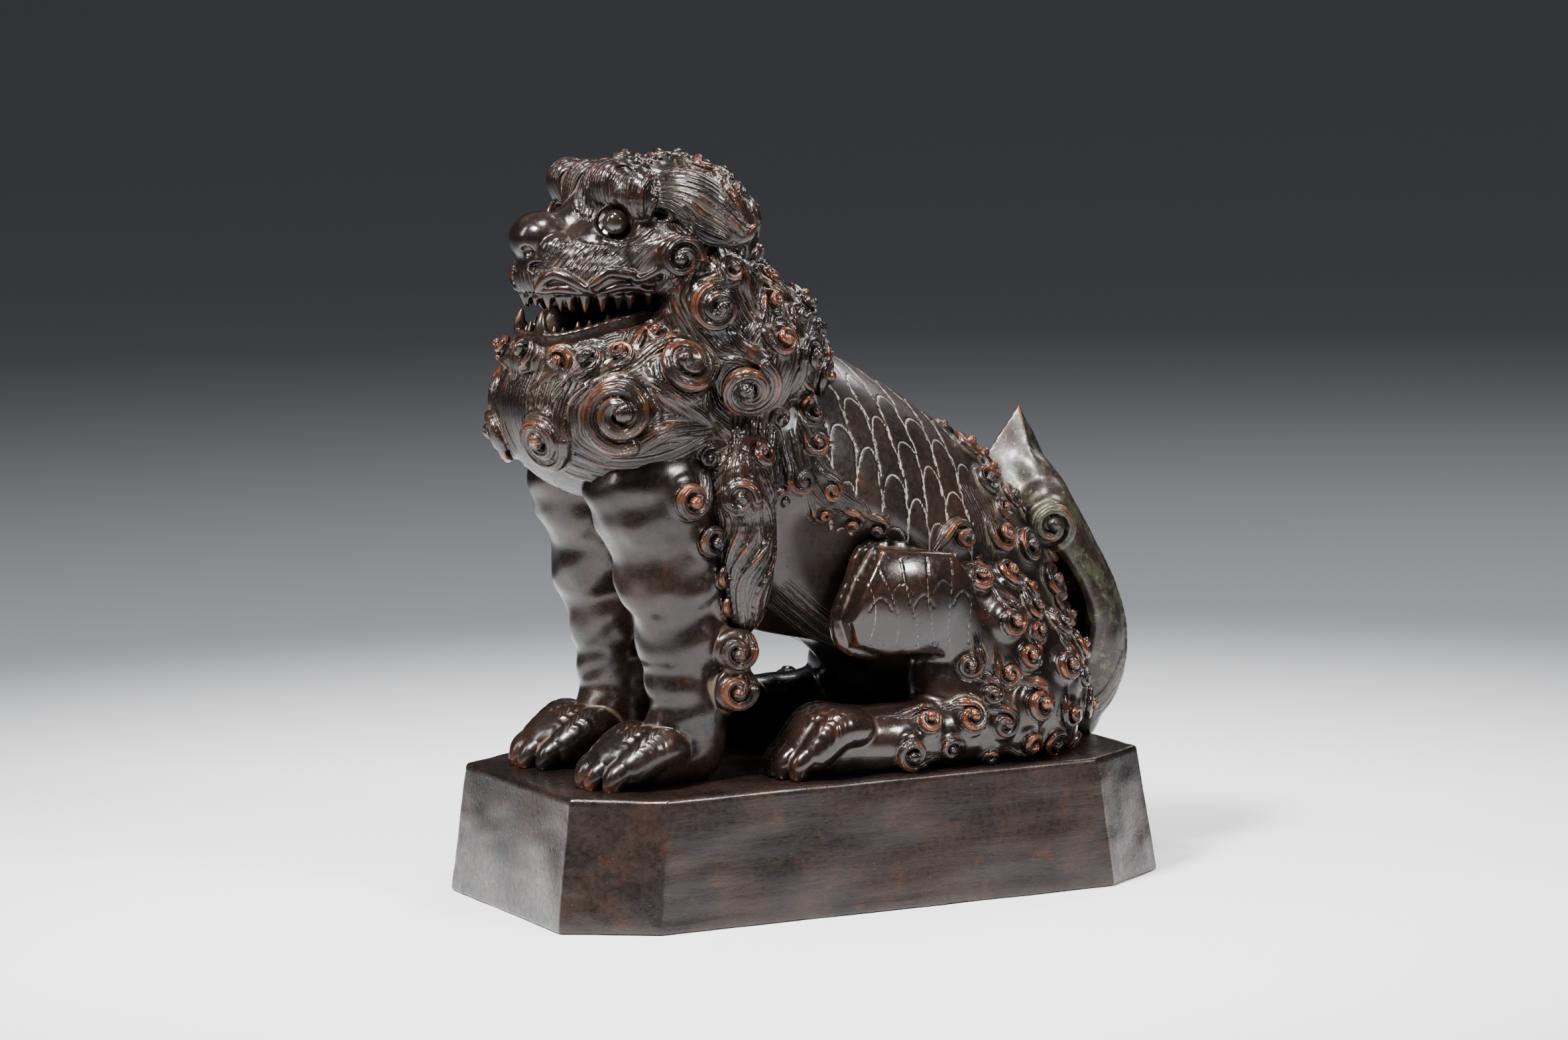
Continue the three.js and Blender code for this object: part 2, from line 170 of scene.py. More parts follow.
    def pyramid(self, apex, base, bottom, k=1.5):
        """Flat faces from the apex down past the corners of base, as far as the height bottom."""
        apex = np.array(apex, float)
        corners = np.array(base, float)
        reach = np.vstack([corners, apex[None]])
        where, x, y, z = self.window(np.r_[reach.min(0)[:2] - 8, bottom - 3], reach.max(0) + 4)
        d = bottom - z
        middle = corners.mean(0)
        for a, b in zip(corners, np.roll(corners, -1, axis=0)):
            n = unit(np.cross(a - apex, b - apex))
            if n @ (middle - apex) > 0:
                n = -n
            d = np.maximum(d, (x - apex[0]) * n[0] + (y - apex[1]) * n[1] + (z - apex[2]) * n[2])
        self.merge(where, d.astype(np.float32), k)

    def chain(self, stations, k=3.0, steps=6, flat=None):
        """Rounded cones along a smooth curve through stations of [x, y, z, radius]."""
        pts = smooth_curve(np.array(stations, float), steps)
        for p, q in zip(pts[:-1], pts[1:]):
            self.segment(p[:3], q[:3], p[3], q[3], k, flat)

    def both(self, centre, radii, turn=None, **named):
        """The same ellipsoid on both sides."""
        c = np.array(centre, float)
        self.ellipsoid(c, radii, turn, **named)
        other = None if turn is None else (turn[0], -turn[1], -turn[2])
        self.ellipsoid(c * MIRROR, radii, other, **named)

    def chain_both(self, stations, **named):
        s = np.array(stations, float)
        self.chain(s, **named)
        self.chain(s * [-1, 1, 1, 1], **named)

    def below(self, z):
        """Cuts off everything under height z."""
        zs = (self.low[2] + self.voxel * np.arange(self.count[2])).astype(np.float32)
        wall = np.broadcast_to(z - zs[None, None, :], self.d.shape)
        np.maximum(self.d, wall, out=self.d)

    def freeze(self):
        """Keeps the smooth form that locks are laid on."""
        self.base = self.d.copy()

    def sample(self, p):
        """The frozen form's distance at each point."""
        g = (np.atleast_2d(p) - self.low) / self.voxel
        g = np.clip(g, 0, self.count - 1.001)
        i = g.astype(int)
        f = g - i
        out = 0.0
        for dx in (0, 1):
            for dy in (0, 1):
                for dz in (0, 1):
                    w = abs(1 - dx - f[:, 0]) * abs(1 - dy - f[:, 1]) * abs(1 - dz - f[:, 2])
                    out = out + w * self.base[i[:, 0] + dx, i[:, 1] + dy, i[:, 2] + dz]
        return out

    def normal(self, p):
        p = np.atleast_2d(p)
        h = self.voxel * 1.5
        g = [self.sample(p + h * e) - self.sample(p - h * e) for e in np.eye(3)]
        return unit(np.stack(g, 1))

    def project(self, p):
        """Moves points on to the frozen form."""
        p = np.atleast_2d(np.array(p, float)).copy()
        for _ in range(6):
            p -= self.normal(p) * np.clip(self.sample(p), -3, 3)[:, None] * 0.9
        return p

    def project_from(self, p, along):
        """Moves points in the direction along until they meet the surface, and drops those that don't."""
        p = np.array(p, float)
        step = np.array(along, float)
        for _ in range(80):
            p += step * np.clip(self.sample(p), 0, 2)[:, None] * 0.8
        return p[np.abs(self.sample(p)) < 0.6]

    def mesh(self, rounds, factor):
        """The field's surface, smoothed a little against the grid's steps."""
        grid = openvdb.FloatGrid(BAND)
        grid.copyFromArray(np.clip(self.d, -BAND, BAND))
        points, quads = grid.convertToQuads(isovalue=0.0)
        surface = Surface(points.astype(float) * self.voxel + self.low, quads.astype(np.int64))
        surface.relax(rounds, factor)
        return surface


def rounded(a, b, edge):
    """The distance to a bar that is bounded by a and b, its edges rounded by edge."""
    return np.minimum(np.maximum(a, b), 0) + np.hypot(np.maximum(a, 0), np.maximum(b, 0)) - edge


def polygon_distance(x, y, pts):
    """Signed distance to a closed outline, negative inside."""
    nearest = np.full(np.broadcast(x, y).shape, 1e9)
    inside = np.zeros(nearest.shape, bool)
    for (ax, ay), (bx, by) in zip(pts, np.roll(pts, -1, axis=0)):
        ex, ey = bx - ax, by - ay
        t = np.clip(((x - ax) * ex + (y - ay) * ey) / max(ex * ex + ey * ey, 1e-9), 0, 1)
        nearest = np.minimum(nearest, (x - ax - t * ex) ** 2 + (y - ay - t * ey) ** 2)
        crosses = ((ay > y) != (by > y)) & (x < ex * (y - ay) / (ey if abs(ey) > 1e-9 else 1e-9) + ax)
        inside ^= crosses
    return np.sqrt(nearest) * np.where(inside, -1, 1)


def smooth_curve(stations, steps):
    """A Catmull-Rom curve through the stations, every column interpolated."""
    if len(stations) < 2:
        return stations
    s = np.vstack([2 * stations[0] - stations[1], stations, 2 * stations[-1] - stations[-2]])
    out = []
    for i in range(1, len(s) - 2):
        for t in np.arange(steps) / steps:
            a, b, c, d = s[i - 1], s[i], s[i + 1], s[i + 2]
            bend, twist = 2 * a - 5 * b + 4 * c - d, 3 * b - a - 3 * c + d
            out.append(0.5 * (2 * b + (c - a) * t + bend * t**2 + twist * t**3))
    out.append(s[-2])
    return np.array(out)


# ---------------------------------------------------------------- locks of hair
BIG_CURL = 9.5  # the radius from which a curl is wound more often, from a thinner strand
# windings, then as shares of the curl's radius: where the coil starts and ends, its strand, its climb
BIG_COIL = (1.75, 0.79, 0.15, 0.19, 0.45)
SMALL_COIL = (1.2, 0.77, 0.14, 0.215, 0.55)
TAIL_BEND = math.radians(30)  # how far a tail swings out before it turns to its end


def draw_path(field, path, width, normals, flat=0.8, k=0.35):
    """A tube along a path that lies on the surface, kept as a guide for the chased hair lines."""
    for i in range(len(path) - 1):
        if width[i] < 0.25 or np.linalg.norm(path[i + 1] - path[i]) > 4.5:
            continue
        field.segment(path[i], path[i + 1], width[i], width[i + 1], k, (normals[i], flat))
    along = unit(np.gradient(path, axis=0))
    side = unit(np.cross(along, normals))
    for i in range(len(path)):
        field.locks.append((path[i], side[i], width[i]))


def lay_tail(field, first, out, end, thick, lift):
    """The tapering band that leaves a coil's rim at first, in the direction out, and ends at end."""
    reach = np.linalg.norm(end - first)
    curve = smooth_curve(np.vstack([first, first + out * reach * 0.45, end]), max(5, int(reach / 2)))
    curve = field.project(curve)
    normals = field.normal(curve)
    s = np.linspace(0, 1, len(curve))
    width = thick * (1.1 + 0.3 * np.sin(np.pi * s)) * np.clip(1.15 * (1 - s) + 0.2, 0, 1)
    rise = lift * (1 - s) ** 2 - width * 0.3 * s
    draw_path(field, curve + normals * rise[:, None], width, normals, 0.75, 0.6)


def lock(field, centre, radius, spin=1, tail=None, turns=None, height=0.5):
    """A snail-like curl: a strand wound up into a raised coil, and a tail that leaves its rim."""
    windings, outer, inner, strand, climb = BIG_COIL if radius > BIG_CURL else SMALL_COIL
    turns = turns or windings
    thick = radius * strand
    c = field.project(centre)[0]
    n = field.normal(c)[0]
    u = unit(np.cross(UP, n)) if abs(n[2]) < 0.97 else np.array([1.0, 0, 0])
    u = unit(u - n * (u @ n))
    v = np.cross(n, u)
    start = 0.8 * spin
    if tail is not None:
        end = np.array(tail, float)
        angle = math.atan2((end - c) @ v, (end - c) @ u) - spin * TAIL_BEND
        start = angle + spin * math.pi / 2

    def around(reach, turn):
        phi = start + spin * 2 * math.pi * turn
        return c + reach[:, None] * (np.cos(phi)[:, None] * u + np.sin(phi)[:, None] * v)

    # a low bed for the coil, then the tail, the coil and the ball in its middle
    field.segment(c - n * radius * 0.3, c - n * radius * 0.12, radius * 0.96, radius * 0.92, 1.0, (n, 0.3))
    if tail is not None:
        first = around(np.array([radius * outer]), np.array([0.0]))[0]
        lay_tail(field, first, math.cos(angle) * u + math.sin(angle) * v, end, thick, radius * height * 0.35)
    t = np.linspace(0, 1, max(14, int(radius * turns * 3.2)))
    rise = radius * height * (0.30 + climb * t)
    coil = around(radius * (outer + (inner - outer) * t), turns * t) + n * rise[:, None]
    draw_path(field, coil, thick * (1.08 - 0.22 * t), np.tile(n, (len(t), 1)), 0.9, 0.3)
    field.ellipsoid(coil[-1] + n * thick * 0.1, (thick * 1.3,) * 3, k=0.3)


def guide(field, points):
    """Combs the chased hair lines along the points, with no relief."""
    curve = field.project(smooth_curve(np.array(points, float), 9))
    draw_path(field, curve, np.full(len(curve), 0.01), field.normal(curve))


def ribbon(field, points, width, flat=0.7, lift=0.0, taper=0.35, k=0.4):
    """A strand of hair along the surface through the points, fading at both ends."""
    curve = smooth_curve(np.array(points, float), 7)
    curve = field.project(curve)
    normals = field.normal(curve)
    s = np.linspace(0, 1, len(curve))
    w = width * (taper + (1 - taper) * np.sin(np.pi * np.clip(s * 0.9 + 0.08, 0, 1)) ** 0.7)
    draw_path(field, curve + normals * (lift - 0.25 * w)[:, None], w, normals, flat, k)


def pair(make, field, points, *rest, **named):
    """Makes a lock or ribbon on the left side and its mirror image on the right."""
    make(field, points, *rest, **named)
    flipped = np.array(points, float) * MIRROR
    if "spin" in named:
        named["spin"] = -named["spin"]
    if named.get("tail") is not None:
        named["tail"] = np.array(named["tail"], float) * MIRROR
    make(field, flipped, *rest, **named)


def place_curls(field, table, scale, height, clear=1.1, both=True):
    """Locks from a table of centre, radius, spin and tail. Gives back the places that they take."""
    taken = []
    for centre, radius, spin, tail in table:
        shape = {"spin": spin, "tail": tail, "height": height(radius) if callable(height) else height}
        taken.append((np.array(centre), radius * clear))
        if both:
            pair(lock, field, centre, radius * scale, **shape)
            taken.append((np.array(centre) * MIRROR, radius * clear))
        else:
            lock(field, centre, radius * scale, **shape)
    return taken


def pack_curls(field, taken, allowed, sizes, seed, limit, flow=None, close=0.9, height=0.5):
    """Fills the rest of a region with curls of falling size that keep clear of the ones taken.

    flow gives the way that the tails of curls point at a place. Without it they have no tails.
    """
    rng = np.random.default_rng(seed)
    shell = np.argwhere(np.abs(field.base) < field.voxel * 0.6)
    points = shell * field.voxel + field.low
    points = points[allowed(points)]
    if not len(points):
        return
    points = points[rng.permutation(len(points))[:6000]]
    placed = list(taken)
    made = 0
    for size in sizes:
        for p in points:
            if made >= limit:
                return
            radius = size * rng.uniform(0.9, 1.1)
            centres = np.array([q[0] for q in placed]) if placed else np.zeros((0, 3))
            radii = np.array([q[1] for q in placed]) if placed else np.zeros(0)
            if len(placed) and (np.linalg.norm(centres - p, axis=1) < close * (radii + radius)).any():
                continue
            placed.append((p, radius))
            tail = None
            if flow:
                tail_way = unit(flow(p) + rng.normal(0, 0.35, 3))
                tail = p + tail_way * radius * rng.uniform(2.0, 2.8)
            lock(field, p, radius, spin=1 if rng.random() < 0.5 else -1, tail=tail, height=height)
            made += 1


# ---------------------------------------------------------------- surfaces
class Surface:
    """A quad mesh with the numbers that its material reads."""

    def __init__(self, points, quads, caps=None):
        self.p = points
        self.q = quads
        self.caps = caps or []
        self.values = {}
        if not self.caps:
            self.largest()
        self.find_edges()

    def find_edges(self):
        q = self.q
        pairs = np.vstack([q[:, [0, 1]], q[:, [1, 2]], q[:, [2, 3]], q[:, [3, 0]]])
        pairs.sort(axis=1)
        self.edges = np.unique(pairs, axis=0)
        self.degree = np.bincount(self.edges.ravel(), minlength=len(self.p)).astype(float)

    def largest(self):
        """Drops the crumbs beside the main body."""
        q = self.q
        label = np.arange(len(self.p))
        while True:
            low = label[q].min(axis=1)
            new = label.copy()
            for k in range(4):
                np.minimum.at(new, q[:, k], low)
            new = new[new]
            if (new == label).all():
                break
            label = new
        names, counts = np.unique(label[q[:, 0]], return_counts=True)
        keep = names[counts.argmax()]
        q = q[label[q[:, 0]] == keep]
        used = np.unique(q)
        index = np.full(len(self.p), -1)
        index[used] = np.arange(len(used))
        self.p = self.p[used]
        self.q = index[q]

    def blank(self, *names):
        for name in names:
            self.values[name] = np.zeros(len(self.p))

    def average(self, values):
        a, b = self.edges[:, 0], self.edges[:, 1]
        n = len(self.p)
        if values.ndim == 1:
            total = np.bincount(a, values[b], n) + np.bincount(b, values[a], n)
            return total / self.degree
        return np.stack([self.average(values[:, k]) for k in range(values.shape[1])], 1)

    def relax(self, rounds, factor):
        for _ in range(rounds):
            self.p = self.p + (self.average(self.p) - self.p) * factor

    def normals(self):
        p, q = self.p, self.q
        face = np.cross(p[q[:, 2]] - p[q[:, 0]], p[q[:, 3]] - p[q[:, 1]])
        n = np.zeros_like(p)
        for k in range(4):
            for axis in range(3):
                n[:, axis] += np.bincount(q[:, k], face[:, axis], len(p))
        return unit(n)

    def push(self, height):
        self.p = self.p + self.normals() * height[:, None]

    def cavity(self):
        """How hollow (plus) or proud (minus) each point is, close up and over a wider reach."""
        n = self.normals()
        smooth = self.p
        for name, rounds, full in (("cav", 4, 0.12), ("wide", 22, 0.8)):
            for _ in range(rounds):
                smooth = smooth + (self.average(smooth) - smooth) * 0.9
            self.values[name] = np.clip(((smooth - self.p) * n).sum(1) / full, -1, 1)

    def strands(self, locks, pitch=1.15, only_near=None):
        """The chased hair lines follow the nearest lock. only_near limits hair to the locks' own width."""
        if not locks:
            self.blank("hair", "strand")
            return
        tree = point_tree([p for p, _, _ in locks])
        found = [tree.find(p)[1:] for p in self.p]
        index = np.array([f[0] for f in found])
        distance = np.array([f[1] for f in found])
        at, side, width = (np.array([lock[k] for lock in locks])[index] for k in range(3))
        self.values["strand"] = ((self.p - at) * side).sum(1) / pitch
        hair = np.ones(len(self.p))
        if only_near is not None:
            hair = np.clip(1 - (distance - width * 1.05 - 0.3) / only_near, 0, 1)
        self.values["hair"] = hair
        self.blank("line")

    def chase(self, depth):
        """Cuts every second hair line into the metal itself."""
        relief = np.cos(np.pi * self.values["strand"]) * self.values["hair"]
        self.push(relief * depth)

    def engrave(self, points, width, depth, where, highlight_strength=1.0):
        """Cuts narrow lines that run through the points, with a highlight painted along them. The last
        argument is how bright that painted highlight shows.
        """
        tree = point_tree(points)
        distance = np.array([tree.find(p)[2] if ok else 9.0 for p, ok in zip(self.p, where)])
        bare = 1 - self.values["hair"]
        # the line value paints a highlight along each cut, for the light that its edges would catch
        self.values["line"] = np.clip(1 - distance / (2 * width), 0, 1) * bare * highlight_strength
        self.push(-depth * np.clip(1.3 - distance / width, 0, 1) * bare)

    def piece(self, name, body, material, slot, *nodes, flip=False):
        p = self.p * MIRROR if flip else self.p
        q = self.q[:, ::-1] if flip else self.q
        faces = q.tolist() + [list(map(int, cap)) for cap in self.caps]
        mesh = bpy.data.meshes.new(name)
        mesh.from_pydata((p * MM + ORIGIN).tolist(), [], faces)
        mesh.shade_smooth()
        for key, values in self.values.items():
            layer = mesh.attributes.new(key, "FLOAT", "POINT")
            layer.data.foreach_set("value", values.astype(np.float32))
        mesh.materials.append(material)
        obj = bpy.data.objects.new(name, mesh)
        bpy.context.scene.collection.objects.link(obj)
        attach(obj, body)
        if nodes:
            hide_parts(*nodes)
        return obj


def point_tree(points):
    tree = kdtree.KDTree(len(points))
    for i, p in enumerate(points):
        tree.insert(p, i)
    tree.balance()
    return tree


def waves(p, size, seed, count=18):
    """Smooth solid noise, about -1 to 1, with features of about that size in millimetres."""
    rng = np.random.default_rng(seed)
    out = np.zeros(len(p))
    for _ in range(count):
        k = unit(rng.normal(size=3)) * 2 * math.pi / (size * rng.uniform(0.7, 1.6))
        out += np.sin(p @ k + rng.uniform(0, 6.28))
    return out / math.sqrt(count)


# ---------------------------------------------------------------- materials
class Shader:
    """A small helper that writes a node material line by line."""

    def __init__(self, name):
        self.material = bpy.data.materials.new(name)
        self.material.use_nodes = True
        tree = self.material.node_tree
        self.nodes, self.links = tree.nodes, tree.links
        self.surface = self.nodes["Principled BSDF"]
        self.coords = self.nodes.new("ShaderNodeTexCoord").outputs["Object"]

    def feed(self, socket, value):
        """Sets a socket to a number or colour, or links another node's output to it."""
        if isinstance(value, (int, float, tuple)):
            socket.default_value = value
        else:
            self.links.new(value, socket)

    def attribute(self, name):
        node = self.nodes.new("ShaderNodeAttribute")
        node.attribute_name = name
        return node.outputs["Fac"]

    def math(self, operation, *values, clamp=False):
        node = self.nodes.new("ShaderNodeMath")
        node.operation = operation
        node.use_clamp = clamp
        for socket, value in zip(node.inputs, values):
            self.feed(socket, value)
        return node.outputs[0]

    def plus(self, a, b, clamp=False):
        return self.math("ADD", a, b, clamp=clamp)

    def minus(self, a, b):
        return self.math("SUBTRACT", a, b)

    def times(self, first, *others):
        for other in others:
            first = self.math("MULTIPLY", first, other)
        return first

    def stretched(self, x, y, z):
        node = self.nodes.new("ShaderNodeMapping")
        node.inputs["Scale"].default_value = (x, y, z)
        self.links.new(self.coords, node.inputs["Vector"])
        return node.outputs[0]

    def noise(self, size, detail=3.0, rough=0.55, at=None):
        """Noise with features of about that size in millimetres."""
        node = self.nodes.new("ShaderNodeTexNoise")
        node.inputs["Scale"].default_value = 1 / (size * MM)
        node.inputs["Detail"].default_value = detail
        node.inputs["Roughness"].default_value = rough
        self.links.new(self.coords if at is None else at, node.inputs["Vector"])
        return node.outputs["Fac"]

    def step(self, value, low, high):
        """Goes smoothly from 0 at low to 1 at high."""
        node = self.nodes.new("ShaderNodeMapRange")
        node.interpolation_type = "SMOOTHSTEP"
        node.inputs["From Min"].default_value = low
        node.inputs["From Max"].default_value = high
        self.links.new(value, node.inputs["Value"])
        return node.outputs["Result"]

    def patches(self, size, detail, low, high, rough=0.55):
        """Cloudy patches of about that size, with soft rims where the noise goes from low to high."""
        return self.step(self.noise(size, detail, rough), low, high)

    def mix(self, factor, a, b):
        node = self.nodes.new("ShaderNodeMix")
        node.data_type = "RGBA"
        for socket, value in ((0, factor), (6, a), (7, b)):
            self.feed(node.inputs[socket], (*value, 1) if isinstance(value, tuple) else value)
        return node.outputs[2]

    def blend(self, factor, a, b):
        """A plain number that goes from a to b."""
        return self.plus(self.times(self.minus(1.0, factor), a), self.times(factor, b))

    def bump(self, height, distance, strength=1.0, under=None):
        node = self.nodes.new("ShaderNodeBump")
        node.inputs["Strength"].default_value = strength
        node.inputs["Distance"].default_value = distance * MM
        self.links.new(height, node.inputs["Height"])
        if under is not None:
            self.links.new(under, node.inputs["Normal"])
        return node.outputs[0]

    def coat(self, weight, roughness):
        self.surface.inputs["Coat Weight"].default_value = weight
        self.surface.inputs["Coat Roughness"].default_value = roughness

    def finish(self, color, roughness, metallic, normal):
        inputs = {"Base Color": color, "Roughness": roughness, "Metallic": metallic, "Normal": normal}
        for name, value in inputs.items():
            self.feed(self.surface.inputs[name], value)
        return self.material


DARK = (0.0085, 0.0055, 0.0045)
BROWN = (0.024, 0.0130, 0.0090)
RED_BROWN = (0.065, 0.021, 0.010)
COPPER = (0.22, 0.066, 0.027)
DUST = (0.125, 0.09, 0.058)
GREEN = (0.10, 0.115, 0.06)
PALE = (0.30, 0.27, 0.2)
# the painted highlight colour for engraved lines
GROOVE_HIGHLIGHT = (0.36, 0.32, 0.27)
CYCLE = 2 * math.pi


def bronze(name, dust=0.5, rub=0.5, pale=0.0, brushed=0.0, matt=0.0):
    """Patinated bronze. dust fills hollows, rub wears edges to copper, pale lays grey-green patches.
    Engraved lines get a painted highlight.
    """
    s = Shader(name)
    hair, strand, wide = s.attribute("hair"), s.attribute("strand"), s.attribute("wide")
    fine = s.noise(2.2, 4, 0.65)
    wobble = s.times(s.minus(s.noise(3.0, 2), 0.5), 0.9)
    wave = s.math("SINE", s.times(s.plus(strand, wobble), CYCLE))
    strands = s.times(s.plus(s.times(wave, 0.5), 0.5), hair)

    high = s.step(s.plus(s.times(wide, -1.0), s.times(s.minus(fine, 0.5), 0.5)), 0.30, 0.95)
    worn = s.times(high, s.patches(14, 3, 0.44, 0.63), rub)
    hollow = s.step(s.plus(s.attribute("cav"), s.times(wide, 0.6)), 0.25, 1.15)
    groove = s.step(s.times(s.minus(1.0, strands), hair), 0.7, 1.0)
    hollow = s.plus(hollow, s.times(groove, s.patches(16, 3, 0.45, 0.65), 0.08), clamp=True)
    dirt = s.times(hollow, s.patches(11, 3, 0.3, 0.62), dust)
    # painted highlight: the engraved lines are painted silver, for the light that their edges catch
    cut = s.step(s.attribute("line"), 0.35, 0.62)
    cut = s.times(cut, s.blend(s.patches(7, 2, 0.35, 0.6), 0.35, 1.0))

    color = s.mix(s.patches(22, 4, 0.35, 0.7), DARK, BROWN)
    color = s.mix(s.times(s.patches(9, 4, 0.55, 0.78), 0.45), color, RED_BROWN)
    color = s.mix(worn, color, COPPER)
    color = s.mix(dirt, color, DUST)
    color = s.mix(cut, color, GROOVE_HIGHLIGHT)
    if pale:
        color = s.mix(s.times(s.patches(8, 5, 0.47, 0.66, 0.7), pale), color, GREEN)
        color = s.mix(s.times(s.patches(3, 4, 0.56, 0.7, 0.7), pale * 0.6), color, PALE)
    roughness = s.blend(s.step(fine, 0.3, 0.75), 0.20 + matt, 0.40 + matt)
    roughness = s.blend(dirt, roughness, 0.8)
    metallic = s.plus(s.times(worn, 0.5), 0.35)

    normal = cast_skin(s, fine, brushed)
    normal = s.bump(strands, 0.34, 0.9, normal)
    finer = s.math("SINE", s.times(s.plus(s.times(strand, 2.3), wobble), CYCLE))
    normal = s.bump(s.times(finer, hair), 0.05, 0.6, normal)
    s.surface.inputs["Specular IOR Level"].default_value = 0.42
    if matt < 0:
        s.coat(0.45, 0.10)
    else:
        s.coat(0.25, 0.18)
    return s.finish(color, roughness, metallic, normal)


def cast_skin(s, fine, brushed):
    """The grain and pits of cast metal, and brush marks if brushed is over 0."""
    pits = s.nodes.new("ShaderNodeTexVoronoi")
    pits.inputs["Scale"].default_value = 1 / (3.4 * MM)
    s.links.new(s.coords, pits.inputs["Vector"])
    pit = s.math("MAXIMUM", s.step(pits.outputs["Distance"], 0.0, 0.16), s.patches(17, 2, 0.46, 0.5))
    normal = s.bump(fine, 0.10, 0.5)
    normal = s.bump(s.noise(0.55, 3), 0.04, 0.5, normal)
    normal = s.bump(pit, 0.22, 0.6, normal)
    if brushed:
        streak = s.noise(1.0, 3, 0.6, s.stretched(1.0, 0.09, 0.55))
        normal = s.bump(streak, 0.16 * brushed, 0.7, normal)
        cross = s.noise(1.3, 3, 0.6, s.stretched(0.6, 0.5, 0.12))
        normal = s.bump(cross, 0.12 * brushed, 0.4, normal)
    return normal


def bead(name, color, rough=0.06):
    """A glossy bead, clouded with a paler tint, with fine scratches."""
    s = Shader(name)
    tint = s.mix(s.patches(5, 3, 0.4, 0.7), color, tuple(c * 2.2 + 0.004 for c in color))
    normal = s.bump(s.noise(1.5, 3), 0.03, 0.5)
    s.coat(0.3, 0.05)
    return s.finish(tint, s.blend(s.noise(2, 3), rough, rough * 2.4), 0.0, normal)


def brass(name):
    s = Shader(name)
    color = s.mix(s.patches(3, 4, 0.4, 0.7), (0.33, 0.20, 0.08), (0.14, 0.085, 0.04))
    normal = s.bump(s.noise(0.6, 3, 0.6, s.stretched(0.2, 1, 1)), 0.05, 0.6)
    return s.finish(color, s.blend(s.noise(2, 3), 0.3, 0.55), 0.9, normal)


BRONZE = bronze("bronze_patina", dust=0.5, rub=0.55, matt=-0.07)
SCALES = bronze("bronze_scales", dust=0.5, rub=0.5, matt=0.07)
SMOOTH = bronze("bronze_smooth", dust=0.7, rub=0.5, brushed=0.5)
TAIL_BRONZE = bronze("bronze_tail", dust=0.8, rub=0.5, pale=0.4, matt=0.13)
PLINTH_BRONZE = bronze("bronze_plinth", dust=0.8, rub=0.6, brushed=1.0, matt=0.03)
EYE_GLOSS = bead("eye_bead_gloss", (0.012, 0.008, 0.006))
BALL = bead("mouth_ball_bronze", (0.035, 0.02, 0.013), 0.2)
FIXING = brass("turned_brass")


# ---------------------------------------------------------------- the castings
JAW_OUTLINE = [(27, -56), (27, -74), (25.5, -88), (20.5, -101), (12, -109.5), (0, -112.5)]
JAW_OUTLINE = JAW_OUTLINE + [(-x, y) for x, y in JAW_OUTLINE[-2::-1]]
ROOF = 229.5
LIP_FRONT, LIP_BACK = 215.0, 226.0
EYE = np.array([25.0, -84.0, 256.0])
EYE_OUT = np.array([0.84, -0.54, 0.0])  # the way the left eye looks
MUZZLE_FRONT = -84  # in front of this y the upper lip draws back from the jaw's outline


def jaw_curve(inset, steps=60):
    """The jaw's outline seen from above as [x, y], drawn in by inset."""
    curve = smooth_curve(np.array(JAW_OUTLINE, float), steps // len(JAW_OUTLINE) + 1)
    along = unit(np.gradient(curve, axis=0))
    out = np.stack([-along[:, 1], along[:, 0]], 1)
    return curve - out * inset * np.sign((out * (curve - [0, -80])).sum(1))[:, None]


def lip_height(y):
    return np.interp(y, [-104, -62], [LIP_FRONT, LIP_BACK])


def cut_mouth(f):
    """The space between the jaws: inside the jaw's outline, and above the lip in front of the cheeks."""
    f.prism(jaw_curve(-0.5), 202, ROOF, 1.5, k=1.0, cut=True)
    above_lip = [(-140, 214.5), (-104, 214.5), (-70, 223.5), (-70, ROOF), (-140, ROOF)]
    f.slab(above_lip, (-60, 60), 1.0, k=1.0, cut=True)


def upper_outline(inset, last, factor):
    """The jaw's outline as far back as y = last, its front made shorter by factor for the upper lip."""
    curve = jaw_curve(inset)
    curve = curve[curve[:, 1] < last]
    back = MUZZLE_FRONT + (curve[:, 1] - MUZZLE_FRONT) * factor
    curve[:, 1] = np.where(curve[:, 1] < MUZZLE_FRONT, back, curve[:, 1])
    return curve


def roll_along(f, curve, height, radius, k):
    """A roll of that radius along a curve of [x, y], at those heights."""
    f.chain(np.column_stack([curve, height, np.full(len(curve), radius)])[::3], k=k, steps=2)


def tooth_places(inset, count, last):
    """Where a row of teeth stands on the jaw's outline, as far back as y = last."""
    row = jaw_curve(inset)
    places = [row[int(i * (len(row) - 1) / count)] for i in range(1, count)]
    return [(x, y) for x, y in places if y <= last]


FLAT_CURL = 13.0  # the radius of the curl in front, which lies flatter than the others
CHEST_CURLS = [
    # centre, radius, spin, tail
    ((8, -111, 207.5), 6.4, 1, (2, -115, 196)),
    ((21, -106, 206), 6.8, 1, (14, -112, 195)),
    ((30.5, -98.5, 205.5), 6.8, 1, (24, -105, 194)),
    ((36.5, -88.5, 207.5), 6.6, 1, (32, -96, 196)),
    ((37, -75, 215), 7.4, -1, (35, -91, 203)),
    ((46, -69, 202), 14.5, -1, (40, -87, 205)),
    ((52, -45, 196), 13.5, -1, (50, -54, 218)),
    ((44.5, -92, 187.5), 16.0, -1, (54, -58, 180)),
    ((20.5, -112.5, 177), FLAT_CURL, -1, (31, -106, 201)),
    ((53, -31, 212), 7.2, 1, (51, -42, 224)),
    ((46, -31, 226), 6.0, -1, (52, -42, 214)),
    ((30, -9, 222), 5.6, 1, (40, -18, 215)),
    ((50, -49.5, 237.5), 7.2, 1, (47, -40, 224)),
    ((52.5, -57, 225), 10.4, 1, (52, -42, 241)),
    ((43, -17, 189), 4.8, -1, (46, -22, 199)),
    ((48, -58.7, 170), 5.0, 1, (50, -48, 176)),
]
